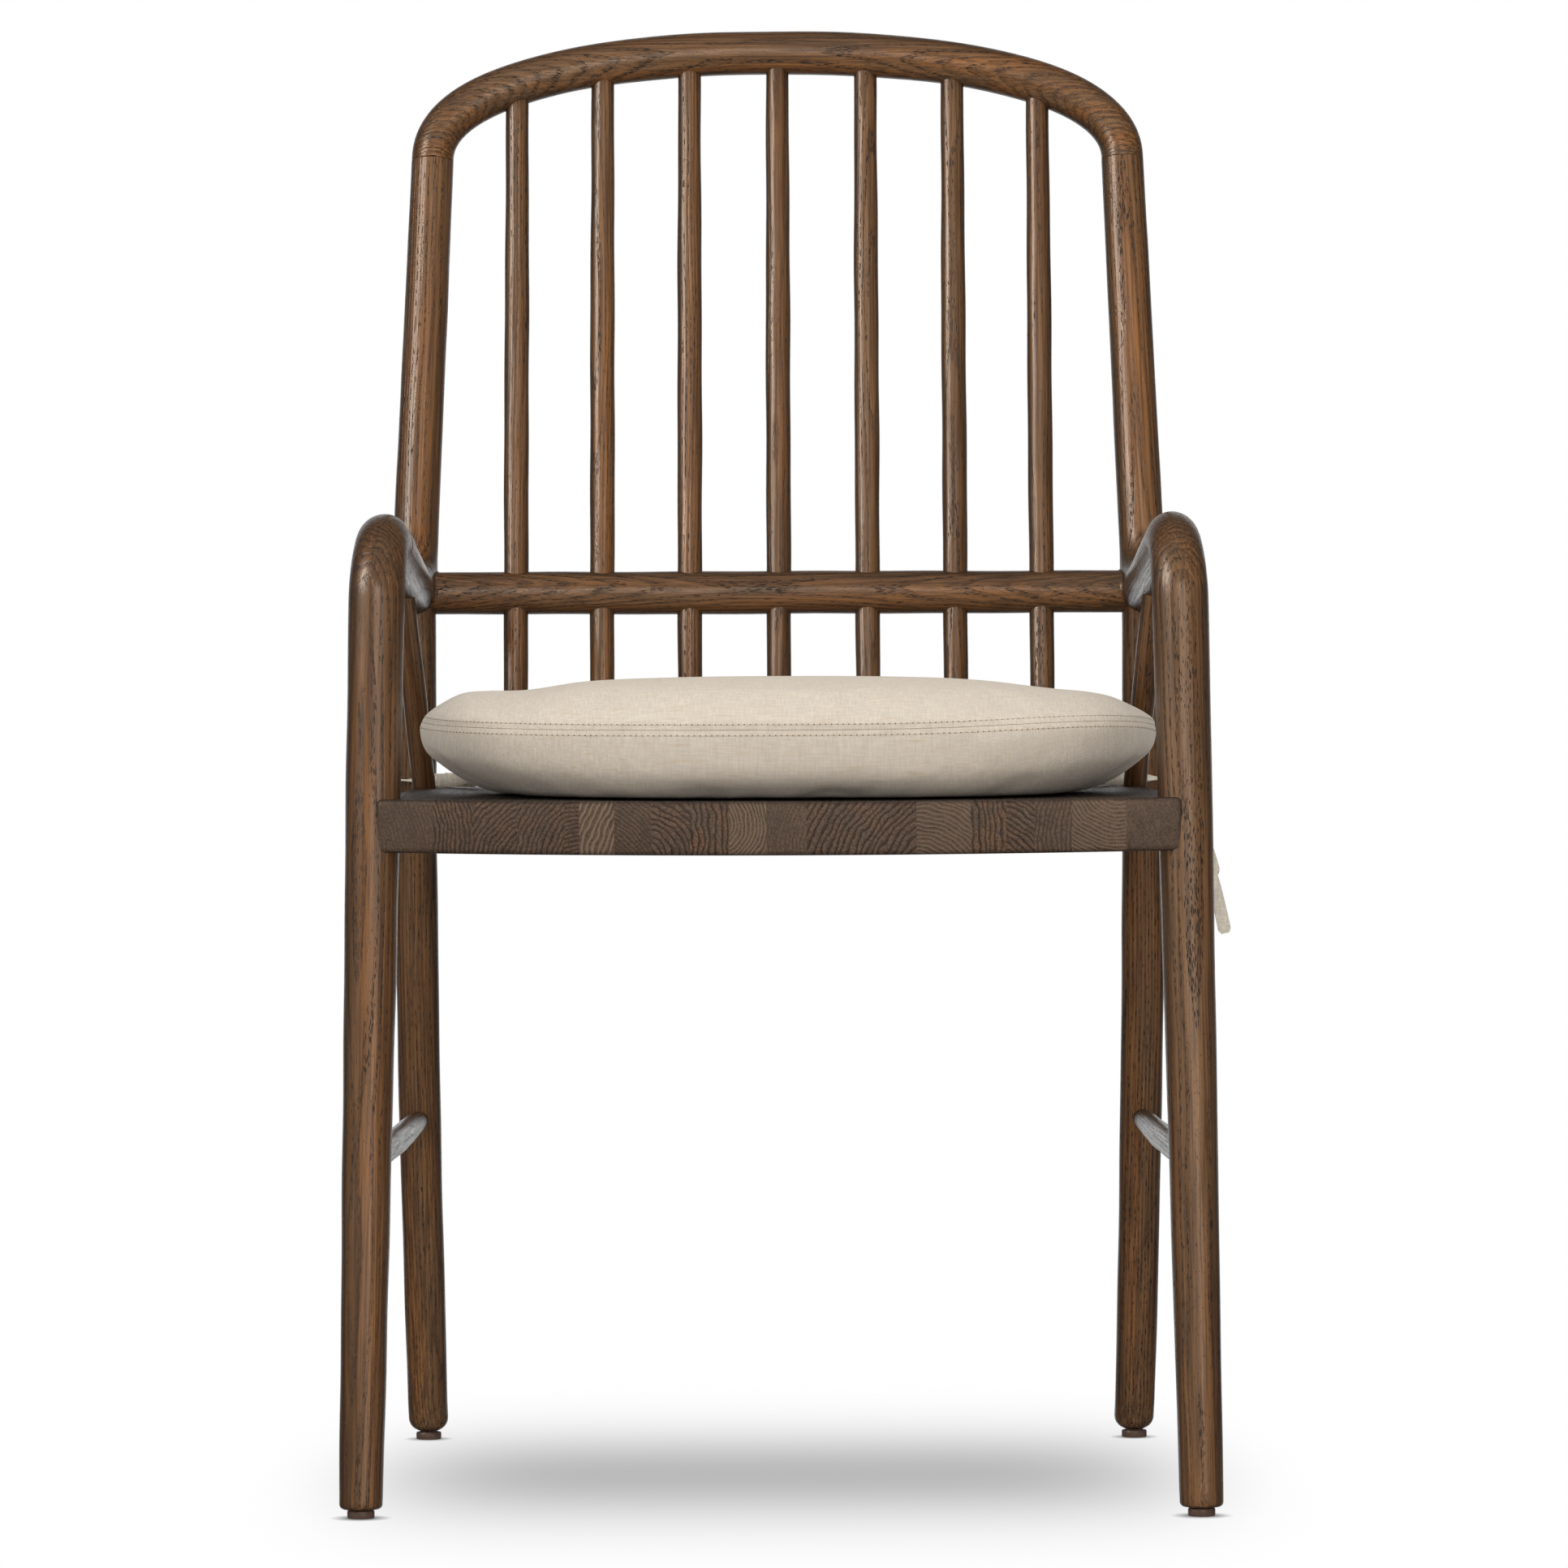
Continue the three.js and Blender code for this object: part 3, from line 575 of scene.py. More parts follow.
def linen(name, yarn, fleck, shade, pitch):
    """Plain weave: two crossed sets of threads, uneven in thickness, with slubs of darker fibre."""
    graph = Finish(name)
    loose = graph.vector("ADD", graph.place, graph.wander(graph.place, 60.0, (0.0022,) * 3))
    split = graph.axes(loose)

    def wave(axis):
        return graph.math("SINE", graph.times(axis, 2 * math.pi / pitch))

    weave = graph.times(wave(split[0]), wave(graph.plus(split[1], split[2])))
    threads = graph.plus(graph.drawn_out((90.0, 900.0, 900.0)), graph.drawn_out((1100.0, 110.0, 110.0)))
    slub = graph.spread(graph.drawn_out((55.0, 600.0, 600.0), 1.0), 0.6, 0.74)
    tuft = graph.spread(graph.drawn_out((420.0, 60.0, 60.0), 1.0), 0.64, 0.76)
    cloud = graph.spread(graph.noise(graph.place, 9.0), 0.3, 0.7)
    colour = graph.layered(graph.mix(graph.spread(threads, 0.75, 1.3), shade, yarn), (
        (graph.times(slub, 0.55), fleck),
        (graph.times(tuft, 0.35), shade),
        (graph.times(cloud, 0.15), shade),
        (graph.times(graph.spread(weave, 0.2, 1.0), 0.10), shade),
    ))
    graph.surface({
        "Base Color": colour, "Roughness": 0.92, "Specular IOR Level": 0.25,
        "Sheen Weight": 0.12, "Sheen Roughness": 0.6,
    })
    graph.bump(graph.plus(graph.times(weave, 0.35), threads), 0.0003, 0.55)
    return graph.material


LINEN = linen("linen", (0.650, 0.576, 0.474), (0.52, 0.40, 0.24), (0.53, 0.46, 0.375), 0.0011)
TAPE = linen("tape", (0.78, 0.70, 0.58), (0.60, 0.50, 0.36), (0.52, 0.46, 0.37), 0.0008)


def mottled(name, low, high, rough, scale, metal=0.0):
    """A plain finish with fine mottling in its colour, gloss and relief."""
    graph = Finish(name)
    fine = graph.noise(graph.place, scale, 4.0, 0.6)
    graph.surface({
        "Base Color": graph.mix(graph.spread(fine, 0.3, 0.7), low, high), "Metallic": metal,
        "Roughness": graph.plus(graph.times(fine, 0.2), rough),
    })
    graph.bump(fine, 0.0002, 0.3)
    return graph.material


THREAD = mottled("thread", (0.50, 0.43, 0.33), (0.60, 0.52, 0.41), 0.8, 1500.0)
# Painted shade in the needle holes between the stitches.
NEEDLE_HOLE_SHADE = mottled("needle_hole", (0.20, 0.135, 0.080), (0.30, 0.21, 0.13), 0.9, 900.0)
# The seam's own colour together with painted shade in its groove.
SEAM_SHADE = mottled("seam_shade", (0.27, 0.20, 0.13), (0.38, 0.29, 0.20), 0.9, 700.0)
GLIDE = mottled("glide", (0.070, 0.038, 0.026), (0.110, 0.062, 0.042), 0.38, 500.0)
STEEL = mottled("nail", (0.30, 0.30, 0.31), (0.52, 0.52, 0.53), 0.28, 400.0, metal=1.0)
DOWEL_WOOD = mottled("dowel_wood", (0.42, 0.27, 0.14), (0.55, 0.38, 0.21), 0.6, 260.0)

# ------------ tie tapes

# Centre lines of the tapes: out of the cushion's rear corner, down to the seat, round the rear leg,
# through the knot and down. Each point is a place to the right, a depth behind the front feet and a
# height, in metres.
TAPE_ROUTES = {
    "tie_front_right": (
        (0.1942, 0.3545, 0.484), (0.199, 0.361, 0.477), (0.206, 0.374, 0.462), (0.212, 0.387, 0.4515),
        (0.218, 0.3975, 0.4482), (0.224, 0.404, 0.4478), (0.231, 0.4093, 0.4478),
        (0.240, 0.4122, 0.4478), (0.2495, 0.413, 0.4478), (0.2578, 0.418, 0.4478),
        (0.262, 0.4235, 0.4476), (0.2665, 0.4265, 0.445), (0.2705, 0.427, 0.439),
        (0.274, 0.427, 0.4305), (0.278, 0.427, 0.419), (0.282, 0.427, 0.405), (0.286, 0.4273, 0.391),
        (0.290, 0.428, 0.377), (0.294, 0.429, 0.360), (0.2975, 0.430, 0.3435),
    ),
    "tie_back_right": (
        (0.1721, 0.3718, 0.484), (0.177, 0.3775, 0.4775), (0.186, 0.385, 0.464),
        (0.196, 0.3925, 0.4525), (0.205, 0.4005, 0.4482), (0.2125, 0.4105, 0.4478),
        (0.218, 0.421, 0.4478), (0.2215, 0.431, 0.4478), (0.225, 0.441, 0.4478),
        (0.232, 0.4488, 0.4478), (0.2415, 0.4512, 0.4478), (0.251, 0.449, 0.4478),
        (0.2588, 0.443, 0.4476), (0.2635, 0.4375, 0.4468), (0.268, 0.4355, 0.443),
        (0.272, 0.4355, 0.436), (0.276, 0.436, 0.427), (0.280, 0.4365, 0.416), (0.2845, 0.437, 0.404),
        (0.288, 0.4375, 0.393), (0.291, 0.438, 0.382),
    ),
    "tie_front_left": (
        (-0.1828, 0.3545, 0.484), (-0.188, 0.361, 0.477), (-0.197, 0.374, 0.462),
        (-0.206, 0.387, 0.4515), (-0.2145, 0.3975, 0.4482), (-0.222, 0.404, 0.4478),
        (-0.231, 0.4093, 0.4478), (-0.240, 0.4122, 0.4478), (-0.2495, 0.413, 0.4478),
        (-0.2578, 0.418, 0.4478), (-0.262, 0.4235, 0.4476), (-0.2665, 0.4265, 0.445),
        (-0.2698, 0.427, 0.439), (-0.2715, 0.427, 0.4305), (-0.273, 0.427, 0.419),
        (-0.2745, 0.427, 0.405), (-0.276, 0.4275, 0.391), (-0.2775, 0.428, 0.377),
        (-0.279, 0.429, 0.360), (-0.2805, 0.430, 0.345),
    ),
    "tie_back_left": (
        (-0.1607, 0.3718, 0.484), (-0.166, 0.3775, 0.4775), (-0.177, 0.385, 0.464),
        (-0.190, 0.3925, 0.4525), (-0.2015, 0.4005, 0.4482), (-0.211, 0.4105, 0.4478),
        (-0.218, 0.421, 0.4478), (-0.2215, 0.431, 0.4478), (-0.225, 0.441, 0.4478),
        (-0.232, 0.4488, 0.4478), (-0.2415, 0.4512, 0.4478), (-0.251, 0.449, 0.4478),
        (-0.2588, 0.443, 0.4476), (-0.2635, 0.4375, 0.4468), (-0.268, 0.4355, 0.443),
        (-0.2705, 0.4355, 0.436), (-0.2725, 0.436, 0.427), (-0.2745, 0.4365, 0.416),
        (-0.2765, 0.437, 0.404), (-0.2785, 0.4375, 0.392), (-0.2805, 0.438, 0.380),
    ),
}


def smooth_line(points, steps):
    """A curve through the points, with even steps in each stretch."""
    points = np.asarray(points, float)
    padded = np.vstack((2 * points[0] - points[1], points, 2 * points[-1] - points[-2]))
    shares = np.linspace(0, 1, steps, endpoint=False)[:, None]
    line = []
    for before, start, end, after in zip(padded, padded[1:], padded[2:], padded[3:]):
        bend = 2 * before - 5 * start + 4 * end - after
        twist = 3 * (start - end) + after - before
        line.append(start + (shares * (end - before) + shares**2 * bend + shares**3 * twist) / 2)
    return np.vstack((*line, points[-1:]))


def ribbon(line, widths, half_width, thickness):
    """Points and faces of a flat tape, with soft edges, along a line whose width directions are given."""
    along = unit(np.gradient(line, axis=0))
    across = unit(widths - along * (widths * along).sum(1)[:, None])
    over = np.cross(along, across)
    half = thickness / 2
    turns = full_turn(12)
    flat = np.sign(np.round(np.cos(turns), 2))
    reach = (np.broadcast_to(half_width, len(line))[:, None] - half) * flat + half * np.cos(turns)
    points = line[:, None] + across[:, None] * reach[..., None]
    points = points + over[:, None] * (half * np.sin(turns))[:, None]
    return points.reshape(-1, 3), tube_faces(len(line), len(turns))


def tie_tape(name, route):
    # It starts inside the cushion, where it is sewn.
    inner = 2 * np.array(route[0]) - np.array(route[1])
    line = smooth_line([at(*point) for point in (inner, *route)], 6)
    run = run_along(line)
    # The width stands upright round the leg, then lies down and turns to face out on the hanging tail.
    share = run / run[-1]
    down, out = (
        np.clip((share - start) / over, 0, 1)[:, None] for start, over in (TAPE_LIES_DOWN, TAPE_FACES_OUT)
    )
    side = math.copysign(1, route[0][0])
    lay = unit(np.array((0.25 * side, 1.0, 0.0)) * (1 - out) + np.array((side, 0.2, 0.0)) * out)
    trimmed = np.clip((run[-1] - run) / TAPE_TRIM, 0, 1) * (1 - TAPE_TIP) + TAPE_TIP
    widths = UP * (1 - down) + lay * down
    points, faces = ribbon(line, widths, TAPE_WIDTH / 2 * trimmed, TAPE_THICKNESS)
    piece = new_object(name + "_tape", points, faces, 60)
    finish_piece(piece, TAPE, "tape", name)


for tie, stops in TAPE_ROUTES.items():
    tie_tape(tie, stops)


def tie_knot(side):
    """A pulled-tight overhand knot of tape, inside its CAD node's box."""
    node = f"tie_knot_{side}"
    low, high = box_of(node)
    turn = full_turn(96)
    rise, run = np.sin(turn) + 2 * np.sin(2 * turn), np.cos(turn) - 2 * np.cos(2 * turn)
    size = ((high - low) / 2 - KNOT_TAPE["inset"]) / np.array((1.0, 3.0, 3.0))
    line = (low + high) / 2 + np.stack((np.sin(3 * turn), rise, run), 1) * (size * KNOT_FILL)
    closed = np.vstack((line, line[:3]))
    widths = np.tile(np.array((1.0, 0.2, 0.3)), (len(closed), 1))
    points, faces = ribbon(closed, widths, KNOT_TAPE["half_width"], KNOT_TAPE["thickness"])
    finish_piece(new_object(node + "_tape", points, faces, 60), TAPE, "tape", node)


for end in ("right", "left"):
    tie_knot(end)

# ------------ wooden bars

PIECE_SEEDS = iter(range(41, 240))


def wooden(name, points, faces, along, nodes, material=STAINED_WOOD, slot="stained_wood", heart=None,
           ring=0.0024, tone=0.0, warmth=0.3, pale=0.0, sharp=40):
    """A wooden piece whose own Z axis runs along its grain through the heart of its tree."""
    draw = np.random.default_rng(next(PIECE_SEEDS))
    angle, distance, shift = draw.uniform(0, 2 * math.pi), draw.uniform(0.035, 0.075), draw.uniform(-3, 3)
    if heart is not None:
        angle, distance = heart
    along = unit(np.asarray(along, float))
    hint = np.array((1.0, 0.0, 0.0)) if abs(along[0]) < 0.9 else UP
    across = unit(hint - along * (hint @ along))
    over = np.cross(along, across)
    points = np.asarray(points, float).reshape(-1, 3)
    middle = (points.min(0) + points.max(0)) / 2
    origin = middle + (across * math.cos(angle) + over * math.sin(angle)) * distance + along * shift
    axes = np.stack((across, over, along), 1)
    piece = new_object(name, (points - origin) @ axes, faces, sharp)
    matrix = np.eye(4)
    matrix[:3, :3], matrix[:3, 3] = axes, origin
    piece.matrix_world = Matrix(matrix.tolist())
    piece["ring"], piece["tone"], piece["warmth"], piece["pale"] = ring, tone, warmth, pale
    finish_piece(piece, material, slot, *nodes)


def wooden_bar(node, centres, radii, along, side=(1, 0, 0), facing=None, shape=None, **look):
    """A round bar in place of a CAD node."""
    name = node + "_wood"
    outward, points = rings(centres, radii, side, facing)
    points = hand_worked(outward, points, len(name) + int(abs(centres[0, 0]) * 1000))
    if shape:
        points = shape(centres, outward, points)
    wooden(name, points, tube_faces(len(centres), BAR_SIDES), along, [node], **look)


def mirrored(points, sign):
    return points * np.array((sign, 1, 1))


def paired_bar(kind, end, sign, centres, radii, along, **look):
    """One bar of a pair, from the line of the right-hand one."""
    wooden_bar(f"{kind}_{end}", mirrored(centres, sign), radii, mirrored(along, sign), **look)


def both_sides(make):
    make("right", 1)
    make("left", -1)


def front_leg_radius(height):
    seat_middle = SEAT_TOP - SEAT_THICKNESS / 2
    low = mix(FRONT_LEG_RADIUS["foot"], FRONT_LEG_RADIUS["seat"], height / seat_middle)
    share = (height - seat_middle) / (FRONT_SHOULDER[2] - seat_middle)
    high = mix(FRONT_LEG_RADIUS["seat"], FRONT_LEG_RADIUS["shoulder"], share)
    return np.where(height < seat_middle, low, high)


def rounded_foot(foot, radius, rounding):
    """Stations of a foot's rounded end, from the floor up."""
    angles = np.radians((90, 75, 60, 45, 30, 15, 0))
    centres = foot + np.outer(rounding * (1 - np.sin(angles)), UP)
    return centres, radius - rounding * (1 - np.cos(angles))


def front_leg(end, sign):
    foot, foot_radii = rounded_foot(FRONT_FOOT, FRONT_LEG_RADIUS["foot"], FRONT_FOOT_ROUNDING)
    shaft = straight(FRONT_FOOT, FRONT_SHOULDER, np.linspace(0.02, 0.985, 60))
    lead = FRONT_SHOULDER + LEG_DIRECTION * BEND_HANDLE
    trail = ARM_START - ARM_DIRECTION * BEND_HANDLE
    shares = np.linspace(0, 1, 36)
    bend = cubic(FRONT_SHOULDER, lead, trail, ARM_START, shares)
    bend_radii = mix(FRONT_LEG_RADIUS["shoulder"], ARM_RADIUS["front"], shares)
    run = straight(ARM_START, KNUCKLE, np.array((0.02, 0.04, ARM_JOINT)))
    centres = np.vstack((foot, shaft, bend, run))
    run_radii = np.full(len(run), ARM_RADIUS["front"])
    radii = np.concatenate((foot_radii, front_leg_radius(shaft[:, 2]), bend_radii, run_radii))
    heart = (math.radians(100 if sign > 0 else 65), 0.05)
    centres, radii = eased(centres, radii, first=0)
    paired_bar("front_leg", end, sign, centres, radii, LEG_DIRECTION, ring=0.0030, tone=0.1, heart=heart)


def arm(end, sign):
    shares = np.linspace(ARM_JOINT + 0.001, 1, 60)
    shaft = straight(ARM_START, KNUCKLE, shares)
    radii = mix(ARM_RADIUS["front"], ARM_RADIUS["rear"], shares)
    angles = np.radians(np.linspace(0, 86, 14))
    ball = KNUCKLE + np.outer(ARM_OVERRUN + ARM_RADIUS["rear"] * np.sin(angles), ARM_DIRECTION)
    radii = np.concatenate((radii, ARM_RADIUS["rear"] * np.cos(angles)))
    centres, radii = eased(np.vstack((shaft, ball)), radii, last=0)
    paired_bar("arm", end, sign, centres, radii, ARM_DIRECTION, ring=0.0028, warmth=0.15)


def rear_leg(end, sign):
    foot, foot_radii = rounded_foot(REAR_FOOT, REAR_LEG_RADIUS["foot"], REAR_FOOT_ROUNDING)
    shares = np.linspace(0.965, 0, 70)
    centres = np.vstack((foot, quadratic(KNUCKLE, REAR_KNEE, REAR_FOOT, shares)))
    radii = np.concatenate((foot_radii, mix(REAR_LEG_RADIUS["top"], REAR_LEG_RADIUS["foot"], shares)))
    paired_bar(
        "rear_leg", end, sign, centres, radii, KNUCKLE - REAR_FOOT,
        ring=0.0027, tone=REAR_LEG_TONES_AND_LIGHT[end], warmth=0.55,
    )


def back_post(end, sign):
    length = np.linalg.norm(BOW_END - KNUCKLE)
    near, far = np.arange(0, 0.07, 0.001), np.arange(0.074, length, 0.006)
    shares = np.concatenate((near, far, [length - HAIRLINE])) / length
    radii = mix(REAR_LEG_RADIUS["top"], BOW_RADIUS["joint"], shares)
    centres, radii = eased(straight(KNUCKLE, BOW_END, shares), radii, first=0)

    def shape(*bar):
        bar = [mirrored(points, sign) for points in bar]
        return mirrored(flared(*bar, post_distance, [arm_distance], **POST_FILLET), sign)

    paired_bar(
        "back_post", end, sign, centres, radii, POST_DIRECTION,
        shape=shape, ring=0.0026, tone=0.12, warmth=0.75,
    )


def crest_bow():
    angles = np.linspace(0, math.pi, 150)
    power = 2 / BOW_FULLNESS
    across = np.sign(np.cos(angles)) * np.abs(np.cos(angles)) ** power
    rise = np.sin(angles) ** power
    half, height = BOW_JOINT["half_width"], BOW_JOINT["height"]
    centres = np.array([back_point(half * x, height + BOW_RISE * z) for x, z in zip(across, rise)])
    radii = mix(BOW_RADIUS["joint"], BOW_RADIUS["crown"], rise)
    left_post = mirrored(POST_DIRECTION, -1)
    centres[0] += POST_DIRECTION * HAIRLINE
    centres[-1] += left_post * HAIRLINE
    centres, radii = eased(centres, radii)
    facing = {}
    for row in range(4):
        facing[row] = POST_DIRECTION
        facing[len(centres) - 1 - row] = -left_post
    wooden_bar(
        "crest_bow", centres, radii, (1, 0, 0), side=(0, -1, RECLINE), facing=facing,
        ring=0.0030, tone=0.15, warmth=0.8, heart=(math.radians(-60), 0.06),
    )


def rail_distance(points):
    nearest = points.copy()
    nearest[..., 1] = KNUCKLE[1] + BACK_BOW * (1 - (points[..., 0] / KNUCKLE[0]) ** 2)
    nearest[..., 2] = KNUCKLE[2]
    return off_skin(points - nearest, RAIL_RADIUS["end"])


def knuckle_distance(points):
    """Distance from the nearer of the arm and the post, on either side of the chair."""
    flip = np.ones_like(points)
    flip[..., 0] = np.where(points[..., 0] < 0, -1.0, 1.0)
    arm_off, arm_way = arm_distance(points * flip)
    post_off, post_way = post_distance(points * flip)
    way = np.where((arm_off < post_off)[..., None], arm_way, post_way)
    return np.minimum(arm_off, post_off), way * flip


def back_rail():
    half = KNUCKLE[0] - 0.003
    places = np.concatenate((np.arange(-half, -half + 0.04, 0.001), np.linspace(-half + 0.044, 0, 36)))
    places = np.concatenate((places, -places[-2::-1]))
    centres = np.array([back_point(x, KNUCKLE[2]) for x in places])
    bulge = np.sin(math.pi * (places + half) / (2 * half))

    def shape(*bar):
        return flared(*bar, rail_distance, [knuckle_distance], **RAIL_FILLET)

    wooden_bar(
        "back_rail", centres, mix(RAIL_RADIUS["end"], RAIL_RADIUS["middle"], bulge), (1, 0, 0),
        side=(0, 0, 1), shape=shape, ring=0.0028, tone=-0.05, warmth=0.35, heart=(math.radians(75), 0.05),
    )


def spindle(node, tone, warmth):
    x = middle_of(node)[0]
    low, high = SEAT_TOP - SEAT_SOCKET, bow_height(x) - BOW_RADIUS["crown"] + BOW_SOCKET
    heights = np.linspace(low, high, 70)
    centres = np.array([back_point(x, height) for height in heights])
    foot, middle, top = SPINDLE_RADIUS.values()
    knots = (low, KNUCKLE[2], mix(KNUCKLE[2], high, 0.5), high)
    radii = np.interp(heights, knots, (foot, middle, middle, top))
    wooden_bar(node, centres, radii, centres[-1] - centres[0], tone=tone, warmth=warmth)


def arm_spindle(end, sign):
    axis = unit(ARM_SPINDLE_HEAD - ARM_SPINDLE_FOOT)
    shares = np.linspace(0, 1, 30)
    centres = straight(ARM_SPINDLE_FOOT - axis * SEAT_SOCKET, ARM_SPINDLE_HEAD, shares)
    radii = np.interp(shares, (0, 0.5, 1), tuple(ARM_SPINDLE_RADIUS.values()))
    paired_bar("arm_spindle", end, sign, centres, radii, axis)


def on_line(points, height):
    """The point of a line that stands at a height."""
    return points[np.abs(points[:, 2] - height).argmin()]


def side_stretcher(end, sign):
    fine = np.linspace(0, 1, 2001)
    front = on_line(straight(FRONT_FOOT, FRONT_SHOULDER, fine), STRETCHER_HEIGHT["front"])
    rear = on_line(quadratic(KNUCKLE, REAR_KNEE, REAR_FOOT, fine), STRETCHER_HEIGHT["rear"])
    shares = np.linspace(0.012, 0.988, 60)
    radii = mix(STRETCHER_RADIUS["end"], STRETCHER_RADIUS["middle"], np.sin(math.pi * shares))
    paired_bar("side_stretcher", end, sign, straight(front, rear, shares), radii, rear - front)


for bar in (front_leg, arm, rear_leg, back_post):
    both_sides(bar)
crest_bow()
back_rail()
for number, look in enumerate(zip(SPINDLE_TONES, SPINDLE_WARMTHS), 1):
    spindle(f"spindle_{number}", *look)
both_sides(arm_spindle)
both_sides(side_stretcher)

# ------------ seat


def seat_edges(x):
    """Depths of the seat's front and rear edges at a place across it."""
    share = min(abs(x) / SEAT["front_half"], 1)
    front = SEAT["front"] - SEAT["front_bow"] * (1 - share**2)
    rear = SEAT["rear"] + SEAT["rear_bow"] * (1 - share**2)
    return front, rear


def seat_section(x, inset):
    """Depths and heights round the seat's section at one place, with rounded edges."""
    front, rear = seat_edges(x)
    top = SEAT_TOP - SEAT_CUP * (1 - min(abs(x) / SEAT["rear_half"], 1) ** 2) - inset
    bottom = top - SEAT_THICKNESS + 2 * inset
    front, rear = front + inset, rear - inset
    corners = ((front, bottom, 1, 1), (rear, bottom, -1, 1), (rear, top, -1, -1), (front, top, 1, -1))
    starts = (180, 270, 0, 90)
    ring = []
    for (depth, height, inward, up), start in zip(corners, starts):
        for turn in np.radians(np.linspace(start, start + 90, 6)):
            along, over = depth + inward * SEAT_ARRIS, height + up * SEAT_ARRIS
            ring.append((along + SEAT_ARRIS * math.cos(turn), over + SEAT_ARRIS * math.sin(turn)))
    return ring


def stave_columns(low, high):
    """Places of a stave's sections; an outer stave's side edge is rounded as well."""
    half = SEAT["front_half"]
    if high < half - NEAR:
        return [(x, 0.0) for x in np.linspace(low, high, 6)]
    columns = [(x, 0.0) for x in np.linspace(low, half - SEAT_ARRIS, 5)[:-1]]
    for turn in np.radians(np.linspace(0, 90, 7)):
        columns.append((half - SEAT_ARRIS * (1 - math.sin(turn)), SEAT_ARRIS * (1 - math.cos(turn))))
    return columns


def seat_stave(index, low, high, stave):
    _, angle, distance, ring, tone, redness = stave
    flip = 1
    if low < -SEAT["front_half"] + NEAR:
        low, high, flip = -high, -low, -1
    columns = stave_columns(low, high)
    points = []
    for x, inset in columns:
        for depth, height in seat_section(x, inset):
            run = (depth - SEAT["front"]) / (SEAT["rear"] - SEAT["front"])
            slack = (SEAT["rear_half"] - SEAT["front_half"]) * np.clip(run, 0, 1)
            share = (x - low) / (high - low) if high > SEAT["front_half"] - NEAR else 0
            points.append(at((x + slack * share) * flip, depth, height))
    across, up = math.cos(math.radians(angle)), math.sin(math.radians(angle))
    # Along +Y the piece's own second axis points down, so the heart's height changes sign.
    wooden(
        f"seat_stave_{index}", points, tube_faces(len(columns), len(points) // len(columns)), (0, 1, 0),
        ["seat_panel"], SEAT_WOOD, "seat_wood", heart=(math.atan2(-up, across), distance / 1000),
        ring=ring / 1000, tone=tone, warmth=redness, pale=min(max(-PALE_STAVES * tone, 0), 1), sharp=50,
    )


def seat():
    total = sum(stave[0] for stave in STAVES)
    left = -SEAT["front_half"]
    for index, stave in enumerate(STAVES, 1):
        right = left + stave[0] * 2 * SEAT["front_half"] / total
        seat_stave(index, left, right, stave)
        left = right


seat()

# ------------ cushion


def cushion_form():
    """The cushion's form before it is inflated: squarish in plan, flat below, widest at the seam."""
    low, high = CUSHION_BOX
    middle, half = (low + high) / 2, (high - low) / 2
    height = high[2] - low[2]
    seam = height * SEAM_SHARE
    turns = full_turn(120)
    still = turns * 0
    fronts = np.clip(-np.sin(turns), 0, 1) ** 2 * (np.abs(np.sin(turns)) > np.abs(np.cos(turns)) * 0.4)
    flats = mix(CUSHION_FLAT, CUSHION_FRONT_FLAT, fronts)
    edges = mix(CUSHION_EDGE["side"], CUSHION_EDGE["front"], fronts)
    spread_edge = CUSHION_EDGE["spread"]
    layers = [(flats * share, still) for share in (0.3, 0.6, 0.85)]
    for share in np.linspace(0, 1, 9):
        layers.append((mix(flats, spread_edge, share), edges * share**1.9))
    for share in np.linspace(0.2, 1, 5):
        spread = spread_edge + (1 - spread_edge) * math.sin(share * math.pi / 2)
        layers.append((still + spread, mix(edges, seam, share)))
    for spread in (0.998, 0.99, 0.975, 0.95, 0.91, 0.86, 0.78, 0.68, 0.56, 0.42, 0.28, 0.14):
        rise = seam + (height - seam) * (1 - spread**2.2) ** CROWN_FULLNESS
        layers.append((still + spread, still + rise))
    points = []
    for spreads, rises in layers:
        across, back = (
            spreads * np.copysign(np.abs(part) ** CUSHION_SQUARING, part)
            for part in (np.cos(turns), np.sin(turns))
        )
        narrow = 1 - CUSHION_TAPER * np.maximum(back, 0)
        plan = (half[0] * across * narrow * UNSTUFFED, half[1] * back * UNSTUFFED)
        points.append(np.stack((*plan, rises), 1))
    base = np.array((middle[0], middle[1], low[2]))
    return np.vstack(points) + base, tube_faces(len(layers), len(turns))


def evaluated(piece):
    return piece.evaluated_get(bpy.context.evaluated_depsgraph_get())


def bake_modifiers(piece):
    piece.data = bpy.data.meshes.new_from_object(evaluated(piece))
    piece.modifiers.clear()


def vertices_of(mesh):
    places = np.zeros(len(mesh.vertices) * 3)
    mesh.vertices.foreach_get("co", places)
    return places.reshape(-1, 3)


def move_vertices(mesh, places):
    mesh.vertices.foreach_set("co", places.ravel())
    mesh.update()


def inflate(piece):
    """Swells a cushion by cloth simulation, and caps how far each point moves."""
    remesh = piece.modifiers.new("remesh", "REMESH")
    remesh.mode = "VOXEL"
    remesh.voxel_size = INFLATION["voxel"]
    bake_modifiers(piece)
    start = vertices_of(piece.data)
    cloth = piece.modifiers.new("cloth", "CLOTH")
    cloth.settings.use_pressure = True
    cloth.settings.uniform_pressure_force = INFLATION["pressure"]
    cloth.settings.effector_weights.gravity = 0
    cloth.settings.quality = 6
    cloth.collision_settings.use_collision = False
    for step in range(1, INFLATION["frames"] + 1):
        bpy.context.scene.frame_set(step)
    move = vertices_of(evaluated(piece).data) - start
    piece.modifiers.clear()
    bpy.context.scene.frame_set(1)
    length = np.linalg.norm(move, axis=1, keepdims=True)
    move *= np.tanh(length / INFLATION["cap"]) * INFLATION["cap"] / np.maximum(length, TINY)
    move_vertices(piece.data, start + move)


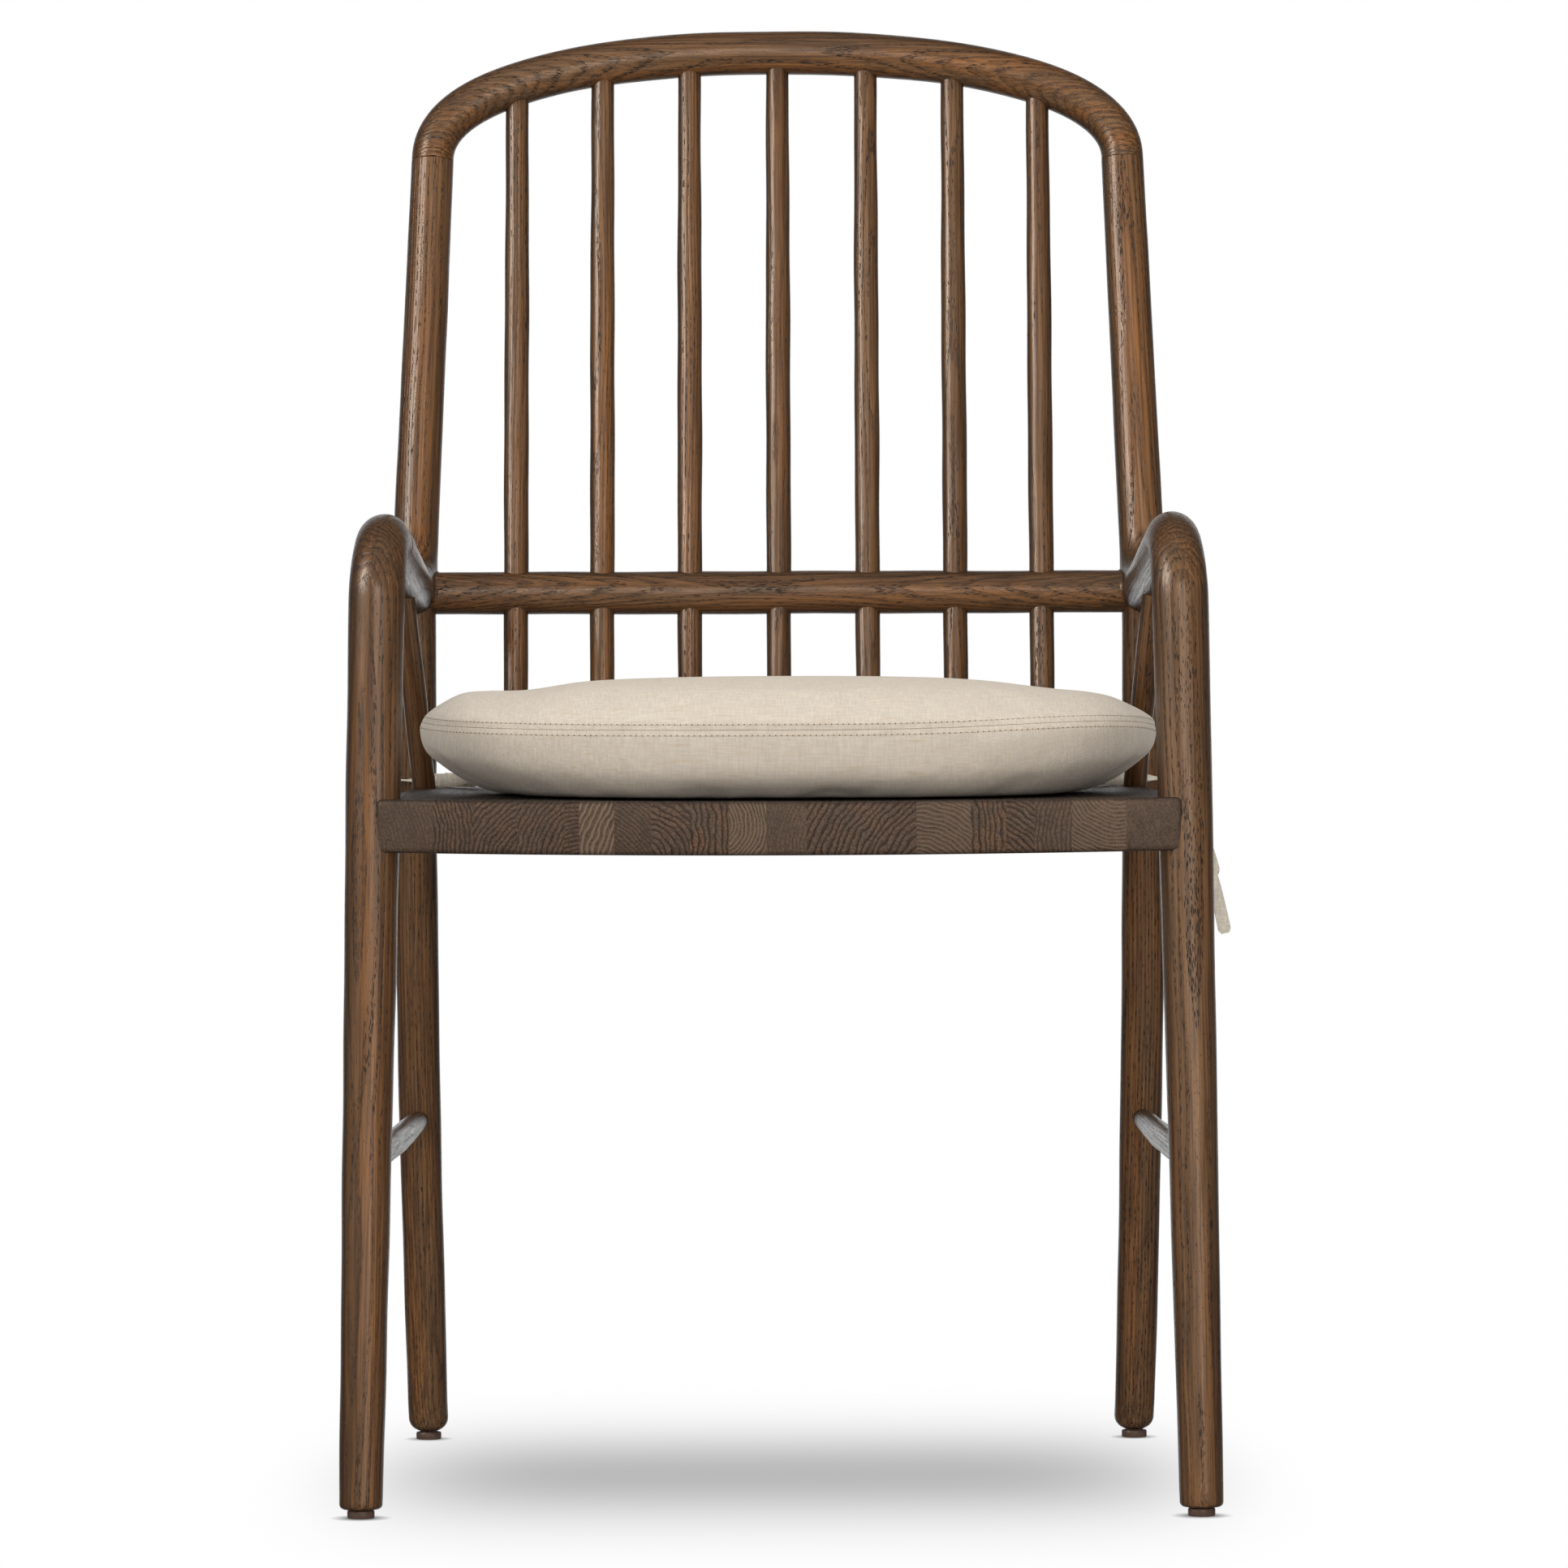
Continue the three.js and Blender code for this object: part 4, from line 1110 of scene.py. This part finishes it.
def seam_line(place, middle, height):
    """Height of the seam, which wanders a little round the cushion."""
    turn = np.arctan2(place[..., 1] - middle[1], place[..., 0] - middle[0])
    for where, rise, spread in SEAM_RISES:
        off = np.cos(turn - math.radians(where)) - 1
        height = height + rise * np.exp(off / math.radians(spread) ** 2)
    return height


def cushion():
    points, faces = cushion_form()
    piece = new_object("seat_cushion_linen", points, faces)
    inflate(piece)
    smooth = piece.modifiers.new("smooth", "SMOOTH")
    smooth.factor, smooth.iterations = 0.5, 4
    finer = piece.modifiers.new("finer", "SUBSURF")
    finer.levels = finer.render_levels = 1
    bake_modifiers(piece)
    place = vertices_of(piece.data)
    low, high = CUSHION_BOX
    now_low, now_high = place.min(0), place.max(0)
    place = low + (place - now_low) * (high - low) / (now_high - now_low)
    # It lies on the cupped seat, swells unevenly, and is drawn in a little along the seam.
    middle = (low + high) / 2
    cup = SEAT_CUP * (1 - np.clip(np.abs(place[:, 0]) / SEAT["rear_half"], 0, 1) ** 2)
    lower = np.clip(1 - (place[:, 2] - low[2]) / CUSHION_SAG["height"], 0, 1)
    place[:, 2] -= cup * lower * CUSHION_SAG["share"]
    upper = np.clip((place[:, 2] - low[2]) / (high[2] - low[2]) * 2 - 1, 0, 1)
    for where, rise, spread in CROWN_SWELLS:
        place[:, 2] += rise * upper * np.exp(-(((place[:, 0] - middle[0] - where) / spread) ** 2))
    seam_height = low[2] + (high[2] - low[2]) * SEAM_SHARE
    off = (place[:, 2] - seam_line(place, middle, seam_height)) / SEAM_GROOVE["width"]
    edge = unit((place - middle) * np.array((1, 1, 0)))
    place -= edge * (SEAM_GROOVE["depth"] * np.exp(-off**2))[:, None]
    move_vertices(piece.data, place)
    piece.data.shade_smooth()
    finish_piece(piece, LINEN, "linen", "seat_cushion")
    return piece, middle, seam_height


def skin_line(piece, middle, height, offset):
    """Points of the cushion's skin along a line parallel to the seam, with smoothed normals."""
    mesh = piece.data
    tree = BVHTree.FromPolygons([v.co for v in mesh.vertices], [tuple(p.vertices) for p in mesh.polygons])
    points, normals = [], []
    for turn in full_turn(1440):
        way = np.array((math.cos(turn), math.sin(turn), 0.0))
        probe = middle + way * 0.6
        probe[2] = seam_line(probe, middle, height) + offset
        hit, normal, _, _ = tree.ray_cast(Vector(probe), Vector(-way))
        points.append(hit)
        normals.append(normal)
    points, normals = np.array(points), np.array(normals)
    for _ in range(3):
        normals = unit(normals + np.roll(normals, 1, 0) + np.roll(normals, -1, 0))
    return points, normals


def sewing_row(skin, pitch):
    """Places at even steps along a closed line of the skin, with the line's direction and the skin's."""
    points, normals = (np.vstack((line, line[:1])) for line in skin)
    run = run_along(points)
    marks = np.linspace(0, run[-1], int(run[-1] / pitch), endpoint=False)
    places, facing = (
        np.stack([np.interp(marks, run, axis) for axis in line.T], 1) for line in (points, normals)
    )
    return places, unit(np.roll(places, -1, 0) - np.roll(places, 1, 0)), unit(facing)


def beads(name, material, places, along, facing, size):
    """Many small round-ended rods in one mesh, as a row of the cushion's sewing."""
    length, radius, flat, lift = size
    shares = np.array((-1.0, -0.8, 0.0, 0.8, 1.0))
    girths = np.array((0.25, 0.8, 1.0, 0.8, 0.25))
    turns = full_turn(6)
    sideways = unit(np.cross(facing, along))
    points, faces = [], []
    for place, forward, side, out in zip(places + facing * lift, along, sideways, facing):
        first = len(points)
        for share, girth in zip(shares, girths):
            for turn in turns:
                ring = side * math.cos(turn) + out * math.sin(turn) * flat
                points.append(place + forward * share * length / 2 + ring * girth * radius)
        faces += tube_faces(len(shares), len(turns), first)
    finish_piece(new_object(name, points, faces), material, "linen", "seat_cushion")


def cushion_sewing(piece, middle, height):
    places, along, facing = sewing_row(skin_line(piece, middle, height, 0.0), SEAM_PITCH)
    # The seam's row is dark: it is the seam itself and the painted shade in its groove.
    beads("cushion_seam", SEAM_SHADE, places, along, facing, SEAM_BEAD)
    for number, offset in enumerate(STITCH_ROWS, 1):
        places, along, facing = sewing_row(skin_line(piece, middle, height, offset), STITCH_PITCH)
        beads(f"cushion_stitches_{number}", THREAD, places, along, facing, STITCH_BEAD)
        # Dark beads between the stitches paint the shade in the needle holes.
        gaps = places + along * STITCH_PITCH / 2
        beads(f"cushion_needle_holes_{number}", NEEDLE_HOLE_SHADE, gaps, along, facing, HOLE_BEAD)


cushion_sewing(*cushion())

# ------------ glides, nails and dowels


def glide(node):
    """A turned plastic glide: a thick floor disc with a rounded rim, and a short neck up to the leg."""
    low, high = box_of(node)
    centre, radius, top = (low + high) / 2, (high[0] - low[0]) / 2, high[2]
    floor_edge, fillet, neck, socket = (radius * share for share in GLIDE_SHARES.values())
    profile = [(floor_edge, 0.0), *((radius - inset, height) for inset, height in GLIDE_RIM)]
    profile += [(fillet, GLIDE_DISC), (neck, GLIDE_DISC + 0.0002), (neck, top), (socket, top)]
    turns = full_turn(48)
    points = [
        (centre[0] + across * math.cos(turn), centre[1] + across * math.sin(turn), height)
        for across, height in profile
        for turn in turns
    ]
    piece = new_object(node + "_turned", points, tube_faces(len(profile), len(turns)), 35)
    finish_piece(piece, GLIDE, "glide", node)


for node, piece in frame["nodes"].items():
    if "glide" in node:
        glide(node)
    elif "dowel" in node or "nail" in node:
        piece.data.materials.clear()
        piece.data.materials.append(DOWEL_WOOD if "dowel" in node else STEEL)

# ------------ stage and light

FLOOR_SHADE = 0.51  # depth of the pool of shade
FLOOR_POOL = ((0.264, 6.0), (0.29, 2.0))  # its half size, and how sharply it ends, across and along
FLOOR_HALF = 2.6

WORLD_AROUND = 0.60  # what lights the surfaces from all sides
WORLD_MIRRORED = (0.05, 1.1)  # what they mirror, from in front of the chair to behind it
WORLD_RUN = (0.74, 0.97)

WHITE = (1.0, 1.0, 1.0)
WARM = (1.0, 0.91, 0.80)
# Place, height of the aim over the chair's middle, width, height, power and tint. The first two light
# the surfaces and are not mirrored in them; the others only show as highlights.
SURFACE_LIGHTS = {
    "top_light": ((0, -0.6, 3.0), 0.4, 2.6, 2.0, 44, WHITE),
    "fill_light": ((-0.3, -4.6, 0.75), 0.35, 2.4, 1.3, 84, WHITE),
}
HIGHLIGHTS = {
    "left_light": ((-2.5, -1.45, 1.95), 0.7, 1.3, 1.3, 74, WARM),
    "front_light": ((0.35, -3.8, 1.8), 0.6, 1.8, 0.6, 27, WARM),
    "right_light": ((1.6, -3.7, 0.75), 0.6, 0.9, 1.6, 15, WARM),
}


def floor():
    """A white glowing floor with a painted shadow: a soft pool of shade under the seat, and painted
    contact shade round the glides.
    """
    graph = Finish("floor")
    across, along = (
        graph.math("POWER", graph.math("ABSOLUTE", graph.math("DIVIDE", axis, half)), power)
        for axis, (half, power) in zip(graph.axes(graph.place), FLOOR_POOL)
    )
    # Painted shadow: the glow dims in a pool under the seat and, by occlusion, close round the glides.
    pool = graph.math("EXPONENT", graph.times(graph.plus(across, along), -1.0))
    near = graph.add("AmbientOcclusion", {"Distance": 0.010}, samples=12).outputs["AO"]
    mottle = graph.times(graph.noise(graph.place, 40.0, 3.0), 0.01)
    bright = graph.math("SUBTRACT", graph.math("SUBTRACT", 1.005, graph.times(pool, FLOOR_SHADE)), mottle)
    graph.surface({
        "Base Color": (0, 0, 0), "Specular IOR Level": 0.0, "Emission Color": WHITE,
        "Emission Strength": graph.times(bright, graph.math("POWER", near, 1.1)),
    })
    corners = ((-1, -1), (1, -1), (1, 1), (-1, 1))
    piece = new_object("floor", [(x * FLOOR_HALF, y * FLOOR_HALF, 0) for x, y in corners], [(0, 1, 2, 3)])
    piece.data.materials.append(graph.material)
    # It shows its own light only to the eye: the world lights the chair from below as well.
    piece.visible_diffuse = piece.visible_glossy = False


def world():
    scene = bpy.context.scene
    scene.world = bpy.data.worlds.new("studio")
    scene.world.use_nodes = True
    graph = Graph(scene.world.node_tree)
    graph.tree.nodes.clear()

    def glow(strength):
        return graph.add("Background", {"Color": WHITE, "Strength": strength}).outputs[0]

    def choose(test, first, second):
        return graph.add("MixShader", {0: test, 1: first, 2: second}).outputs[0]

    behind = graph.axes(graph.add("TexCoord").outputs["Generated"])["Y"]
    limits = zip(("From Min", "From Max", "To Min", "To Max"), (*WORLD_RUN, *WORLD_MIRRORED))
    run = graph.add("MapRange", {"Value": behind, **dict(limits)}, interpolation_type="SMOOTHSTEP")
    path = graph.add("LightPath").outputs
    seen = choose(path["Is Glossy Ray"], glow(WORLD_AROUND), glow(run.outputs["Result"]))
    seen = choose(path["Is Camera Ray"], seen, glow(1.0))
    graph.add("OutputWorld", {"Surface": seen})


def softbox(name, place, aim, width, height, power, tint, mirrored_only):
    """A rectangular light that either lights surfaces or shows as a highlight on them."""
    data = bpy.data.lights.new(name, "AREA")
    data.shape = "RECTANGLE"
    data.size, data.size_y = width, height
    data.energy = power
    data.color = tint
    lamp = placed(name, data)
    lamp.location = place
    lamp.rotation_euler = (Vector((0, 0, aim)) - Vector(place)).to_track_quat("-Z", "Y").to_euler()
    lamp.visible_diffuse = not mirrored_only
    lamp.visible_glossy = mirrored_only


floor()
world()
for lights, mirrored_only in ((SURFACE_LIGHTS, False), (HIGHLIGHTS, True)):
    for name, settings in lights.items():
        softbox(name, *settings, mirrored_only)
bpy.context.scene.view_settings.view_transform = "Standard"
